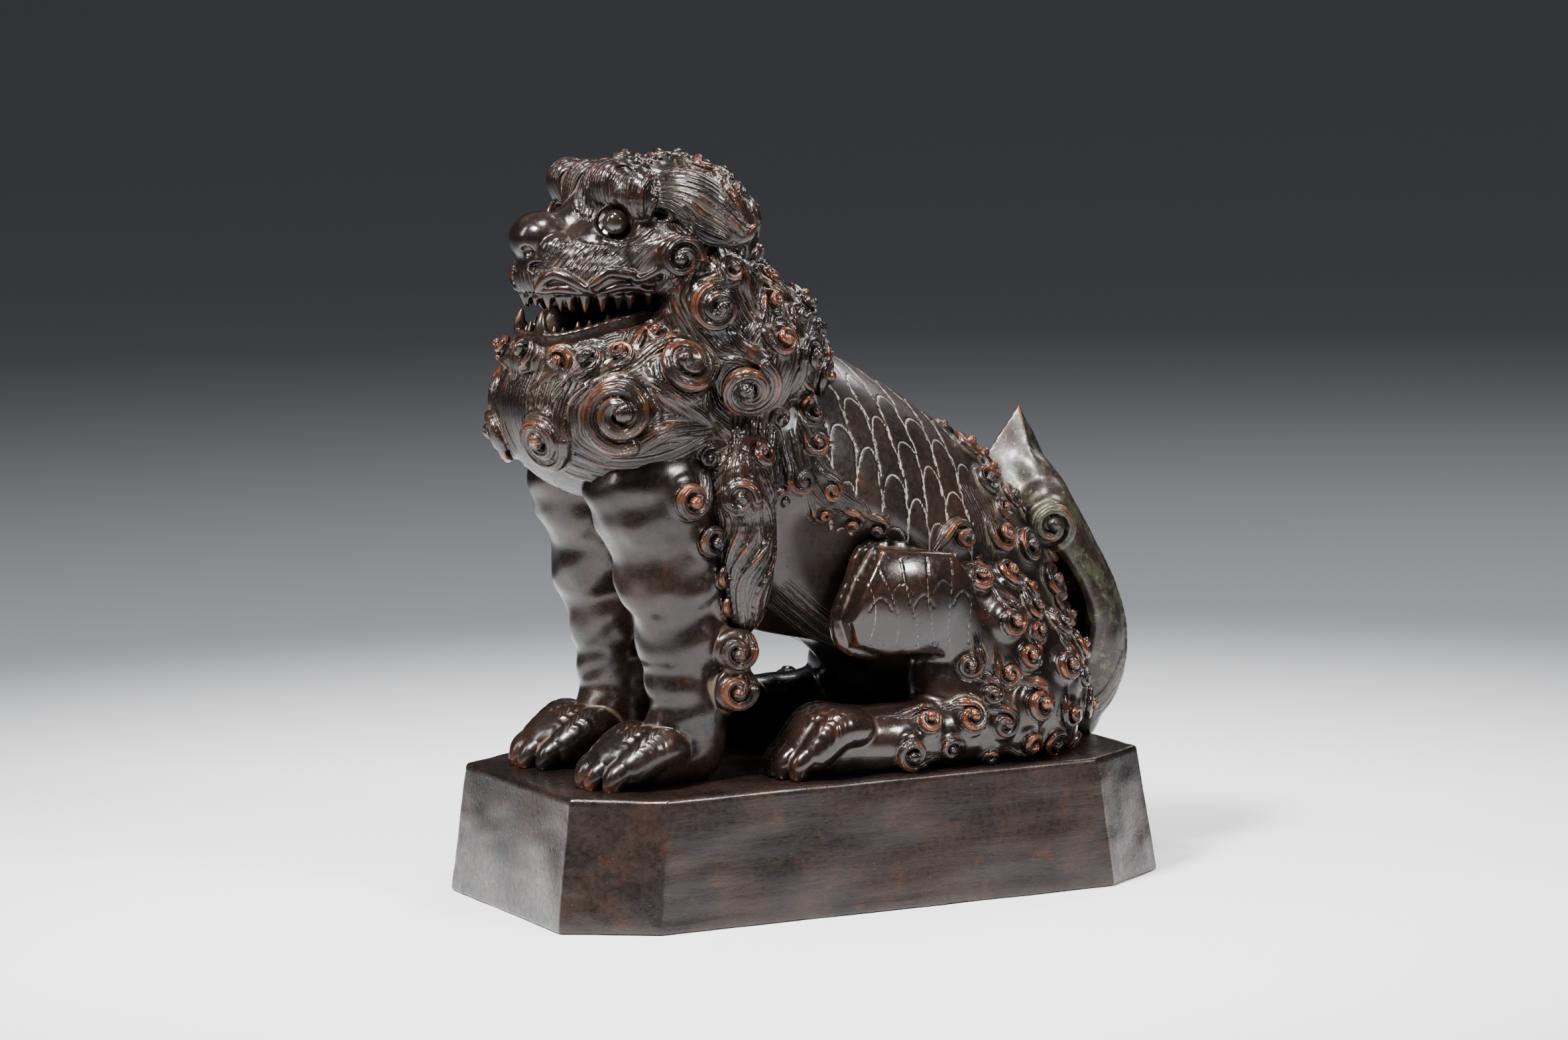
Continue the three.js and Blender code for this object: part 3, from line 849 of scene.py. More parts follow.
CHEST_STRANDS = [
    # width, points
    (1.8, [(35, -96, 197), (31, -103, 191), (30.5, -104, 184), (32, -104, 177), (38, -98, 170)]),
    (2.2, [(31, -105, 171), (38, -97, 166), (46, -83, 166), (51, -68, 170), (54, -54, 176)]),
    (2.2, [(27, -108, 165), (36, -98, 160), (45, -83, 159), (51, -67, 163), (53, -53, 171)]),
    (2.2, [(22, -108, 160), (32, -100, 154), (42, -85, 152), (49, -68, 156), (51, -55, 165)]),
    (2.0, [(50, -60, 189), (54, -57, 185), (56, -50, 181), (55, -40, 177)]),
    (2.0, [(44, -76, 193), (51, -68, 189), (55, -60, 184), (56, -50, 174)]),
    (2.2, [(50, -34, 206), (55, -36, 197), (54, -35, 187), (51, -38, 177), (50, -45, 166)]),
    (2.2, [(48, -24, 204), (50, -26, 194), (49, -28, 182), (47, -34, 168), (47, -42, 152)]),
    (2.0, [(50, -60, 214), (53, -56, 209), (55, -50, 208), (55, -42, 206)]),
]
# the strands that hang from the mane's side, as [x, y]
CURTAIN = [(50.5, -51), (50, -47.5), (49, -44), (47.5, -40.5), (45.5, -37), (43, -34)]


def chest_height(radius):
    """How high a chest curl of that radius stands: small ones stand up most."""
    if radius == FLAT_CURL:
        return 0.4
    return 0.8 if radius < 7 else 0.72


def mane():
    f = Field((-62, -126, 98), (62, 12, 252), 0.62)
    f.ellipsoid((0, -72, 186), (52, 44.5, 36), k=5)
    f.ellipsoid((0, -76, 190), (44, 41.5, 24), k=5)
    f.ellipsoid((0, -38, 206), (54, 43, 35), (-20, 0, 0), k=5)
    f.ellipsoid((0, -42, 166), (49, 39, 37), (23, 0, 0), k=6)
    f.both((37, -52, 226), (14, 19, 21), k=5)
    collar = jaw_curve(3.0)
    collar = collar[collar[:, 1] < -66]
    roll_along(f, collar, lip_height(collar[:, 1]) - 9, 4.6, 4)
    f.chain_both([(44, -46, 162, 10), (44.5, -45, 140, 9), (43.5, -43, 122, 7), (41, -43, 107, 3)], k=5)
    f.freeze()
    taken = place_curls(f, CHEST_CURLS, 1.0, chest_height, 1.15)
    for width, points in CHEST_STRANDS:
        pair(ribbon, f, points, width)
    for x, y in CURTAIN:
        upper = [(x, y + 3, 180), (x + 1, y - 2, 163), (x, y + 2.5, 145)]
        pair(ribbon, f, upper + [(x - 1.5, y - 2, 126), (x - 4, y - 2, 106)], 2.3, lift=0.4)
    # the hair lines hang straight down from the chin
    for x in (2.5, 7.5, 12.5, 17.5, 22.5, 27.5):
        low = 196 if 8 < x < 30 else 168
        bow = x * x / 60
        pair(guide, f, [(x, bow - 112, 206), (x, bow - 117, (206 + low) / 2), (x, bow - 119, low)])

    def round_the_back(p):
        front = (p[:, 1] < -58) & (p[:, 2] < 215)
        mouth = (p[:, 1] < -56) & (np.abs(p[:, 0]) < 36)
        return ~front & ~mouth & (p[:, 2] > 152) & (p[:, 2] < 246)

    def downwards(p):
        return np.array([p[0] * 0.004, 0.2, -1.0])

    pack_curls(f, taken, round_the_back, (9.0, 7.8, 6.8, 5.8), 11, 110, downwards, close=1.0, height=0.42)
    cut_mouth(f)
    s = f.mesh(1, 0.4)
    s.strands(f.locks, 1.15)
    s.chase(0.16)
    s.cavity()
    return s


def jaw():
    f = Field((-32, -118, 198), (32, -50, 234), 0.42)
    f.prism(jaw_curve(0.4), 203, 240, 2.5)
    f.prism(jaw_curve(4.6), 212, 245, 2.5, k=2, cut=True)
    z = (f.low[2] + f.voxel * np.arange(f.count[2])).astype(np.float32)
    y = (f.low[1] + f.voxel * np.arange(f.count[1])).astype(np.float32)
    above = z[None, None, :] - lip_height(y).astype(np.float32)[None, :, None]
    f.d = np.maximum(f.d, np.broadcast_to(above, f.d.shape))
    rim = jaw_curve(1.6)
    roll_along(f, rim, lip_height(rim[:, 1]) - 0.4, 1.15, 1.0)
    rng = np.random.default_rng(4)
    for x, y in tooth_places(3.4, 24, -62):
        z = lip_height(y)
        tall = rng.uniform(1.8, 3.4)
        f.segment((x, y, z - 2), (x * 0.97, y + 0.6, z + tall), 2.1, 0.4, k=0.9)
    f.chain_both([(10, -107.5, 212, 2.6), (10, -108.3, 218, 2.0), (9.6, -107.4, 223.4, 0.45)], k=0.8)
    s = f.mesh(1, 0.4)
    s.strands([])
    s.cavity()
    return s


BROW_STRANDS = [
    # the brow's hair falls forward over the eye in three lobes
    [(x * 0.75, -69, 277), (x, x * 0.15 - 79, 276), (x + 1.2, x * 0.2 - 88, 269),
     (x + 1.5, x * 0.2 - 88, 256)]
    for x in (1.5, 3.8, 6.1, 8.4, 10.7)
] + [
    [(x - 2, -74, 278), (x, x * 0.5 - 93.5, 277), (x + 1, x * 0.6 - 101.5, 271),
     (x + 1, x * 0.6 - 100.5, 262)]
    for x in (13, 15.2, 17.4, 19.6, 21.8, 24)
] + [
    [(x - 4, x * 1.1 - 98, 277), (x, x * 1.05 - 106, 275), (x + 3, x * 1.05 - 113, 268),
     (x + 2.5, x * 1.05 - 113, 256)]
    for x in (27, 29, 31, 33)
]
EAR_STRANDS = [
    # from the back edge of the leaf to its front, for an ear that EAR_SCALE and EAR_SHIFT then lower
    [(30, -62, 275), (34, -57, 279), (39, -50, 278), (44, -43.5, 271), (47, -39.5, 262)],
    [(31, -66, 274), (35.5, -61.5, 279), (41, -55, 278), (46, -48, 271), (49, -42, 261), (52, -39.5, 254)],
    [(31, -69.5, 272), (36.5, -66, 277), (43, -59, 276), (48, -51, 269), (50.5, -44, 259), (53, -40.5, 253)],
    [(31, -73, 269), (37, -70, 274), (44, -63, 274), (49, -54, 267), (51.5, -46, 257), (53.5, -41.5, 252)],
    [(36, -73, 268), (41, -69, 270), (46, -62, 267), (49, -55, 260), (51, -48, 253)],
    [(37, -73, 264), (42, -69, 265), (46, -63, 261), (48, -56, 254), (51, -49, 250)],
    [(38, -72.5, 260), (42, -68, 259), (45, -62, 254), (47, -56, 249), (52, -46, 249)],
]
EAR_SCALE, EAR_SHIFT = np.array([1, 1, 0.82]), np.array([0, -2.5, 44.8])
LIPS = [
    # width, then the points of a wavy leaf: two leaves on each side, each with a rim above and below
    (1.8, [(10, -111, 230), (15, -109, 235.5), (19, -106, 237.5), (23, -100.5, 235), (25.5, -95, 231)]),
    (1.5, [(12, -111, 229), (16.5, -107.5, 231), (20.5, -103, 232), (23.5, -98, 230.5), (26, -93.5, 229.5)]),
    (1.8, [(26, -94.5, 234), (28, -89, 237.5), (29.5, -82, 237), (31.5, -75, 238), (34.5, -70, 241)]),
    (1.5, [(27, -91, 230.5), (29, -85, 233), (30.5, -78, 232.5), (32, -73, 234), (34, -69, 237)]),
]
WHISKERS = [
    # where they start under the eye, and where they end at the lip
    [(13, -102.5, 247), (19, -99, 249), (25, -95, 249), (31, -88, 247.5), (35, -78, 247), (38, -70, 249)],
    [(9, -109, 236), (14, -107, 238), (20, -102, 238), (25, -95, 237), (28, -86, 239), (32, -76, 241)],
]


def head():
    f = Field((-60, -122, 216), (60, -8, 292), 0.5)
    skull(f)
    ear_leaf(f)
    f.freeze()
    eye_rings(f)
    muzzle_hair(f)
    for points in BROW_STRANDS:
        pair(ribbon, f, points, 1.35, lift=0.45, taper=0.7, k=0.4)
    ear(f)
    pair(lock, f, (44, -67, 243), 9.8, spin=1, tail=(42, -57, 226), turns=1.5, height=0.9)
    for k in range(3):
        points = [(37 + k, -73 + 3 * k, 262), (40 + k, -70 + 3.4 * k, 257), (41.5 + k, -66 + 3.4 * k, 250)]
        pair(ribbon, f, points, 1.5, lift=0.2)
    crown_curls(f)
    cut_mouth(f)
    upper_teeth(f)
    f.both(EYE + unit(EYE_OUT) * 4.5, (7.2, 7.2, 6.9), k=0.8, cut=True)
    s = f.mesh(1, 0.4)
    s.strands(f.locks, 1.05, only_near=1.4)
    s.chase(0.12)
    s.cavity()
    return s


def skull(f):
    """The smooth form under the hair of the head."""
    f.ellipsoid((0, -56.5, 249), (39, 36.5, 28), k=4)
    f.ellipsoid((0, -62, 246), (30, 26, 18), k=4)
    f.ellipsoid((0, -84, 243), (25.5, 22, 14.5), k=5)
    f.ellipsoid((0, -97, 240), (20, 15, 13), k=5)
    f.ellipsoid((0, -70, 265), (27, 16, 11.5), k=5)
    f.both((19, -78, 266), (15, 10, 7), k=4)
    f.both((30, -63, 243), (13, 18, 15), k=5)
    f.chain([(0, -96, 250, 7.5), (0, -87, 252, 8.5), (0, -79, 259, 9.5)], k=4)
    # nose: a bulb between two wings, with nostrils under it
    f.ellipsoid((0, -103.5, 250), (12.5, 11.5, 10), k=1.5)
    f.both((11, -101.5, 246), (6.4, 7.4, 6.2), k=0.8)
    f.both((7, -112.5, 245), (3, 3.4, 2.6), (20, 0, 25), k=0.8, cut=True)
    f.both((10, -108, 239.5), (5, 4, 2.2), (0, 0, 30), k=1.5, cut=True)
    # the upper lip, a roll of flesh that the teeth hang from
    lip = upper_outline(2.6, -64, 0.76)
    roll_along(f, lip, np.interp(lip[:, 1], [-112, -62], [234.5, 238]), 4.8, 4)
    # eye sockets, and the three lobes of the brow over each
    f.both((29.6, -89.6, 256), (12, 8.5, 8.3), (0, 0, 40), k=2, cut=True)
    f.both((8.5, -79.5, 266), (11, 8, 11), (8, 0, 12), k=3)
    f.both((20.5, -82.5, 269.5), (8, 7.5, 7.5), (0, 0, 25), k=2)
    f.both((32.5, -77, 266), (6, 6.5, 9), (0, 0, 50), k=2)


def eye_rings(f):
    """A ridge under each eye, and the ring that its bead sits in."""
    lower = [(19, -99, 253), (23.5, -97, 249.5), (30.5, -90.5, 248), (35.5, -82.5, 250), (38, -75, 255)]
    pair(ribbon, f, lower, 1.3, lift=0.2, taper=0.4, k=1)
    out = unit(EYE_OUT)
    across = np.cross(UP, out)
    ring = []
    for a in np.linspace(0, 2 * math.pi, 25):
        ring.append((*(EYE + out * 1.2 + (7.0 * math.cos(a) * across + 5.6 * math.sin(a) * UP)), 0.7))
    f.chain_both(ring, k=1.6, steps=1)


def muzzle_hair(f):
    combed = len(f.locks)
    for width, points in LIPS:
        pair(ribbon, f, points, width, flat=0.9, lift=1.1, taper=0.6, k=0.8)
    del f.locks[combed:]  # the lips are bare skin
    # combed strands that lean forward, from under the eye down to the lips
    top, bottom = np.array(WHISKERS)
    for t in np.arange(17) * (len(top) - 1) / 16:
        k = min(int(t), len(top) - 2)
        a = top[k] + (top[k + 1] - top[k]) * (t - k)
        b = bottom[k] + (bottom[k + 1] - bottom[k]) * (t - k)
        points = [a, a * 0.6 + b * 0.4 + [0.5, -0.6, 0.6], b]
        pair(ribbon, f, points, 1.15, flat=0.8, lift=0.3, taper=0.5, k=0.25)
    # the fringe on the front of the upper lip
    for x in (-8, -4.8, -1.6, 1.6, 4.8, 8):
        points = [(x, -110, 238), (x * 1.05, -111.5, 233), (x * 1.1, -110, 227.5)]
        ribbon(f, points, 1.25, lift=0.2, taper=0.5)


def crown_curls(f):
    """Curls over the crown and down the nape. The ears, cheeks and brow are kept clear."""
    kept_clear = [(43.5, -67, 243.5, 9.5), (46, -52, 262, 15), (36, -64, 272, 9), (38, -78, 262, 8)]
    taken = []
    for x, y, z, radius in kept_clear:
        taken += [((x, y, z), radius), ((-x, y, z), radius)]

    def crown(p):
        return (p[:, 2] > 267) & (p[:, 1] > -72)

    def nape(p):
        return (p[:, 1] > -46) & (p[:, 2] > 226)

    def downwards(p):
        return np.array([p[0] * 0.01, 0.3, -1.0])

    pack_curls(f, taken, crown, (7.4, 6.4, 5.4), 21, 60, height=0.3)
    pack_curls(f, taken, nape, (8.6, 7.4, 6.4), 23, 90, downwards, close=1.0, height=0.36)


def upper_teeth(f):
    """The gums close the gap under the lips, and the teeth stand in them."""
    gum = upper_outline(4.2, -62, 0.86)
    roll_along(f, gum, np.interp(gum[:, 1], [-112, -62], [229.5, 232]), 2.4, 1.5)
    rng = np.random.default_rng(8)
    for x, y in tooth_places(2.2, 22, -66):
        if abs(x) >= 8:
            if y < MUZZLE_FRONT:
                y = y * 0.9 - 8.4
            f.segment((x, y, 229), (x * 0.98, y, 224.6 - rng.uniform(0, 1.4)), 2.6, 0.6, k=0.9)
    f.chain_both([(14, -98.5, 232, 3.2), (14, -98, 228, 2.4), (13.8, -96.5, 222.6, 0.45)], k=0.8)
    for x in (4, -4):
        f.segment((x, -107, 228), (x, -107.4, 225.4), 2.0, 0.5, k=0.9)


def ear_leaf(f):
    """A leaf that folds out from the crown and hangs behind the eye, hollow in front."""
    leaf = [(32, -66, 266.5, 6), (37.5, -60.5, 265, 7), (42.5, -56.5, 260, 7.5), (45.5, -52.5, 254.5, 6.5)]
    f.chain_both(leaf + [(50.5, -46, 250.5, 3)], k=3)
    f.both((46, -68, 254), (5, 6, 5), k=3, cut=True)


def ear(f):
    """Strands down the leaf, and its tip turned up."""
    curves = [smooth_curve(np.array(points, float) * EAR_SCALE + EAR_SHIFT, 5) for points in EAR_STRANDS]
    curves = [curve[np.linspace(0, len(curve) - 1, 12).astype(int)] for curve in curves]
    between = [(a + b) / 2 for a, b in zip(curves[:-1], curves[1:])]
    for curve in curves + between:
        pair(ribbon, f, curve, 1.3, flat=0.9, lift=0.35, taper=0.5, k=0.3)
    f.chain_both([(50, -48, 249, 2.6), (53, -45, 250.5, 2.2), (54.5, -42, 254, 0.9)], k=1)


def bead_ball(centre, radius):
    """A ball with the slight unevenness of a hand-made bead."""
    c = np.array(centre, float)
    f = Field(c - radius - 2, c + radius + 2, 0.3)
    f.ellipsoid(c, (radius, radius, radius), k=0.3)
    s = f.mesh(2, 0.5)
    s.push(waves(s.p, 4, 3) * 0.05 - 0.06)
    s.strands([])
    s.cavity()
    return s


# ---------------------------------------------------------------- body
# the body's middle line with its radius, and the straight line that the scales are wrapped round
SPINE = [(0, -46, 174, 42), (0, -10, 154, 49), (0, 30, 127, 49), (0, 60, 102, 44)]
SPINE_START = np.array([0.0, -10.0, 154.0])
SPINE_ALONG = unit(np.array([0.0, 0.803, -0.596]))
SPINE_UP = np.array([0.0, 0.596, 0.803])
FLANK_CURLS = [
    ((38, -13.5, 181), 4.0, 1, (41, -18, 189)), ((41, -14.5, 171), 5.4, 1, (42, -20, 181)),
    ((43, -21, 159), 6.1, 1, (44, -27, 171)), ((43.5, -10, 155), 5.0, -1, (42, -15, 165)),
    ((43, -11.5, 147.5), 4.0, 1, (44, -18, 154)), ((44, 1, 143), 4.7, -1, (44, -6, 152)),
    ((44.5, 11, 140.5), 4.5, -1, (44, 4, 149)), ((43, 44, 133), 6.4, -1, (40, 34, 129)),
    ((38, 64, 131), 6.8, 1, (35, 56, 144)),
]


def torso():
    f = Field((-52, -50, 47), (52, 116, 214), 0.7)
    f.chain(SPINE, k=8, flat=(np.array([1.0, 0, 0]), 0.92), steps=4)
    f.ellipsoid((0, 70, 80), (45, 41, 44), k=9)
    f.both((60, -4, 119), (25, 50, 29), (-24, 0, 0), k=6, cut=True)
    f.ellipsoid((0, -15, 76), (110, 34, 20), k=5, cut=True)
    f.freeze()
    taken = place_curls(f, FLANK_CURLS, 1.12, 0.75)
    for k in range(4):
        y = 50 + k * 2.5
        points = [(36 - k, y, 148 - k), (39 - k, y + 4, 138 - k), (40 - k, y + 5, 126 - k)]
        pair(ribbon, f, points, 1.5, taper=0.5)
    for k in range(3):
        upper = [(41, -24 + k * 3, 176), (43, -22 + 3 * k, 164)]
        pair(ribbon, f, upper + [(44, -16 + 4 * k, 153 + k), (45, -4 + 4 * k, 148)], 1.3, taper=0.5)
    # fringe along the belly
    for k in range(4):
        points = [(36 - 4 * k, -22, 118 - 2 * k), (35 - 4 * k, -4, 102 - 2 * k), (33 - 3 * k, 14, 92)]
        pair(ribbon, f, points, 1.4)

    def tail_root(p):
        return (p[:, 1] > 62) & (p[:, 2] > 108) & (np.abs(p[:, 0]) < 42)

    def rump(p):
        return (p[:, 1] > 78) & (p[:, 2] > 54) & (p[:, 2] <= 108) & (np.abs(p[:, 0]) > 8)

    pack_curls(f, taken, tail_root, (8.0, 7.0, 6.0), 31, 30)
    pack_curls(f, taken, rump, (7.0, 6.0, 5.0), 33, 40)
    f.below(SEAT - 0.4)
    s = f.mesh(2, 0.5)
    s.strands(f.locks, 1.15, only_near=2.0)
    y, z = s.p[:, 1], s.p[:, 2]
    # the scale lines carry the painted highlight at full strength
    s.engrave(scale_lines(f), 0.33, 0.28, (y < 56) & (y > -15) & (z > 140 - 0.32 * (y + 10)))
    s.cavity()
    return s


def scale_lines(f):
    """Scales like leaves in offset columns over the flanks: each is an arch that opens downwards."""
    width, length = 9.6, 20.0
    rng = np.random.default_rng(12)
    u = np.linspace(-1, 1, 41)
    arch = length * 0.34 * (1 - np.abs(u) ** 2.4)
    down = np.linspace(0, length * 0.66, 26)
    lines = []
    for column in range(-16, 8):
        middle = column * width
        wave = 0.55 * np.sin(down / length * 6.28 + column)
        for row in range(-8, 8):
            top = row * length + (length / 2 if column % 2 else 0)
            shift = rng.uniform(-0.5, 0.5, 2)[0]
            lines.append(np.column_stack([middle + u * width / 2, top + arch + shift]))
            for edge in (middle - width / 2, middle + width / 2):
                lines.append(np.column_stack([edge + wave, top - down]))
    flat = np.vstack(lines)
    # turned so that the columns slant, then wrapped round the back at about its own radius
    cos_t, sin_t, radius = 0.62, 0.785, 46
    along = flat[:, 0] * sin_t - flat[:, 1] * cos_t
    phi = (-flat[:, 0] * cos_t - flat[:, 1] * sin_t) / radius
    keep = (along > -42) & (along < 100) & (phi > -0.02) & (phi < 2.2)
    along, phi = along[keep], phi[keep]
    spot = np.column_stack([along, phi * radius, np.zeros(len(along))])
    along = along + waves(spot, 22, 61) * 0.9
    phi = phi + waves(spot, 26, 62) * 0.02
    out = []
    for side in (1.0, -1.0):
        around = np.sin(phi)[:, None] * np.array([side, 0, 0]) + np.cos(phi)[:, None] * SPINE_UP
        out.append(f.project(SPINE_START + along[:, None] * SPINE_ALONG + (radius + 1) * around))
    return np.vstack(out)


HIND_TOE, FORE_TOE = 7.2, 8.4  # how far apart the toes stand
# the outline of the plate on the thigh, as [y, z]
THIGH = [(8, 132), (37, 129), (44, 118), (44, 97), (37, 91.5), (9, 92), (-3, 96), (-6, 106), (0, 120)]
HAUNCH_CURLS = [
    ((56, 49, 121.5), 7.1, -1, (52, 40, 130)), ((58, 58, 102), 7.3, -1, (56, 55, 116)),
    ((57, 42, 87), 5.7, -1, (58, 44, 97)), ((60, 57, 82.5), 5.4, 1, (60, 52, 92)),
    ((60, 66, 89), 5.9, -1, (60, 68, 99)), ((58, 49, 75), 5.2, -1, (58, 44, 82)),
    ((59, 66.5, 70), 8.3, -1, (60, 60, 80)), ((56, 83, 83.6), 7.1, -1, (52, 86, 97)),
    ((52, 84, 65), 5.9, 1, (54, 82, 75)), ((55, 76, 108), 6.1, 1, (50, 72, 118)),
    ((59, 73, 98), 5.0, -1, (57, 74, 107)), ((48, 88, 98), 5.4, 1, (46, 84, 108)),
]
SHIN_CURLS = [
    ((59.5, 22, 66.5), 6.4, -1, (57, 12, 70)), ((60, 40, 66.5), 6.8, -1, (58, 32, 72)),
    ((60, 53, 64), 6.4, -1, (60, 46, 70)), ((59.5, 15, 57), 7.1, -1, (58, 26, 54)),
    ((60, 31, 57), 4.7, 1, (60, 38, 54)), ((59, 64, 57), 6.1, 1, (60, 56, 54)),
]


def toes(f, middle, pitch, bow, toe, claw, k):
    """Four toes that stand pitch apart about x = middle. toe and claw are stations of [y, z, radius]."""
    for step in (-1.5, -0.5, 0.5, 1.5):
        offset = step * pitch
        back = abs(offset) * bow
        x = middle + offset
        f.chain([(middle + offset * 0.85, *toe[0])] + [(x, y + back, z, r) for y, z, r in toe[1:]], k=k)
        f.chain([(x, y + back, z, r) for y, z, r in claw], k=0.4)


def wrinkle(s, middle, pitch, y, z):
    """Curved creases over the knuckles of a paw whose toes stand pitch apart about x = middle."""
    toe = (s.p[:, 0] - middle) / pitch + 0.5
    bow = (toe - np.round(toe)) ** 2 * pitch
    near = np.exp(-(((s.p[:, 1] - y) / 6) ** 2)) * np.clip((s.p[:, 2] - z) / 3, 0, 1)
    near = near * np.clip((z + 14 - s.p[:, 2]) / 4, 0, 1)
    s.push(np.cos((s.p[:, 1] - y + bow * 1.2) * 2 * math.pi / 3.6) * near * 0.26)


def hind_leg():
    f = Field((12, -42, 47), (70, 106, 138), 0.58)
    f.slab(THIGH, (42, 62), 2.0, 2.5, crown=((34, 22, 112), (28, 46, 31)))
    f.chain([(44, y, z, 2.6) for y, z in THIGH[5:] + THIGH[:2]], k=1.5, steps=4)
    f.ellipsoid((38, 63, 73), (23, 37, 36), k=5)
    f.ellipsoid((38, 52, 96), (22, 26, 29), k=6)
    f.chain([(44, 40, 76, 14), (48, 60, 64, 13), (49, 26, 60, 11.5), (47, 2, 59, 12)], k=5)
    f.ellipsoid((46, -10, 60), (14.5, 19, 14.5), k=5)
    toe = [(-5, 66, 7.5), (-17, 66, 7.4), (-26, 58, 6.2)]
    toes(f, 46, HIND_TOE, 0.35, toe, [(-28, 58, 4.6), (-32, 55, 4.2), (-33.5, 51, 3.2)], 1.0)
    f.freeze()
    taken = place_curls(f, HAUNCH_CURLS + SHIN_CURLS, 1.12, 0.6, both=False)

    def haunch(p):
        return (p[:, 1] > 47) & (p[:, 0] > 24) & (p[:, 2] > 52)

    pack_curls(f, taken, haunch, (7.6, 6.6, 5.6), 41, 40, close=0.95)
    f.below(SEAT - 0.4)
    s = f.mesh(1, 0.5)
    s.strands(f.locks, 1.15, only_near=1.6)
    plate = (s.p[:, 1] < 46) & (s.p[:, 1] > -8)
    # the plate's lines carry a weaker painted highlight
    s.engrave(f.project_from(plate_lines(), (-1, 0, 0)), 0.32, 0.3, plate, 0.62)
    wrinkle(s, 46, HIND_TOE, -17, 62)
    s.cavity()
    return s


def plate_lines():
    """The scale lines on the thigh's plate, drawn beside it: wavy uprights, with an arch in each gap."""
    lines = []
    for k, y in enumerate((0, 8.5, 17, 25.5, 34, 42)):
        z = np.linspace(95 + 4 * (k == 0), 128 - 6 * (k == 0), 70)
        upright = y + 2.2 * np.sin((z - 97) / 9 + k) - (z - 112) * 0.08
        lines.append(np.column_stack([np.full(70, 66.0), upright, z]))
        u = np.linspace(-1, 1, 30)
        arch = 110 + 5 * (k % 2) + 4.5 * (1 - u * u)
        lines.append(np.column_stack([np.full(30, 66.0), y + 4.2 + 4.2 * u, arch]))
    return np.vstack(lines)


LEG_CURLS = [
    ((50, -69, 156), 8.0, -1, (53, -50, 170)), ((48.5, -60.5, 140.5), 7.2, -1, (51, -44, 154)),
    ((46.5, -54.5, 126.5), 5.8, -1, (49, -42, 138)), ((46, -50, 115), 5.4, -1, (47, -38, 126)),
    ((47.5, -50, 98), 7.4, -1, (45, -42, 110)), ((48, -50.5, 83.5), 7.6, -1, (45, -42, 95)),
]
LEG_FOLDS = [
    # the swellings of the upper arm, the forearm and the wrist: centre, radius, half height, tilt
    (27, -76, 161, 23.5, 14, (24, 14, 0)), (28, -72.6, 143, 22.4, 13, (-26, -20, 0)),
    (30, -68.2, 125, 20.4, 15, (22, 16, 0)), (30.5, -64.6, 103, 17.0, 17, (-12, -8, 0)),
    (31, -63.6, 83, 14.8, 10, (-14, 8, 0)), (31, -64, 71, 14.4, 8, (8, -6, 0)),
]


def fore_leg():
    f = Field((6, -114, 47), (60, -30, 178), 0.58)
    bone = [(28, -72, 158, 23), (29.5, -67, 134, 19.3), (31, -63, 110, 15.8), (31, -61, 86, 13)]
    f.chain(bone + [(31, -62, 60, 13)], k=3, flat=(np.array([1.0, 0, 0]), 0.94))
    for x, y, z, r, tall, tilt in LEG_FOLDS:
        f.ellipsoid((x, y, z), (r * 0.93, r * 0.98, tall), tilt, k=5)
    f.ellipsoid((42, -48, 98), (7, 9, 8.5), k=2)
    f.ellipsoid((42, -48, 83), (7, 9.5, 8.5), k=2)
    f.ellipsoid((31, -80, 58), (17.5, 22, 12), k=4)
    toe = [(-74, 62, 7), (-86, 62.5, 7.8), (-96, 57, 6.8)]
    toes(f, 31, FORE_TOE, 0.45, toe, [(-99, 56.5, 4.9), (-103, 54, 4.4), (-105, 50.5, 3.2)], 0.8)
    f.freeze()
    place_curls(f, LEG_CURLS, 1.15, 0.75, both=False)
    f.below(SEAT - 0.4)
    s = f.mesh(2, 0.5)
    s.strands(f.locks, 1.15, only_near=1.6)
    bare = (1 - s.values["hair"]) * np.clip((s.p[:, 2] - 64) / 10, 0, 1)
    s.push((waves(s.p * [1, 1, 1.4], 20, 9) * 0.55 + waves(s.p, 10, 10) * 0.13) * bare)
    wrinkle(s, 31, FORE_TOE, -87, 62)
    s.cavity()
    return s


TAIL = [
    (0, 111, 58, 15), (0, 113.5, 70, 19.5), (0, 118.5, 84, 23), (0, 117.5, 98, 24.5),
    (0, 108, 116, 24.5), (0, 103, 130, 22), (0, 99.5, 144, 16),
]
TAIL_RIM = [
    (18, 97, 127, 1.4), (23, 102, 122, 2), (25.5, 108, 113, 2.2),
    (26, 113.5, 98, 2.2), (24, 113, 84, 2), (16, 108, 71, 1.4),
]


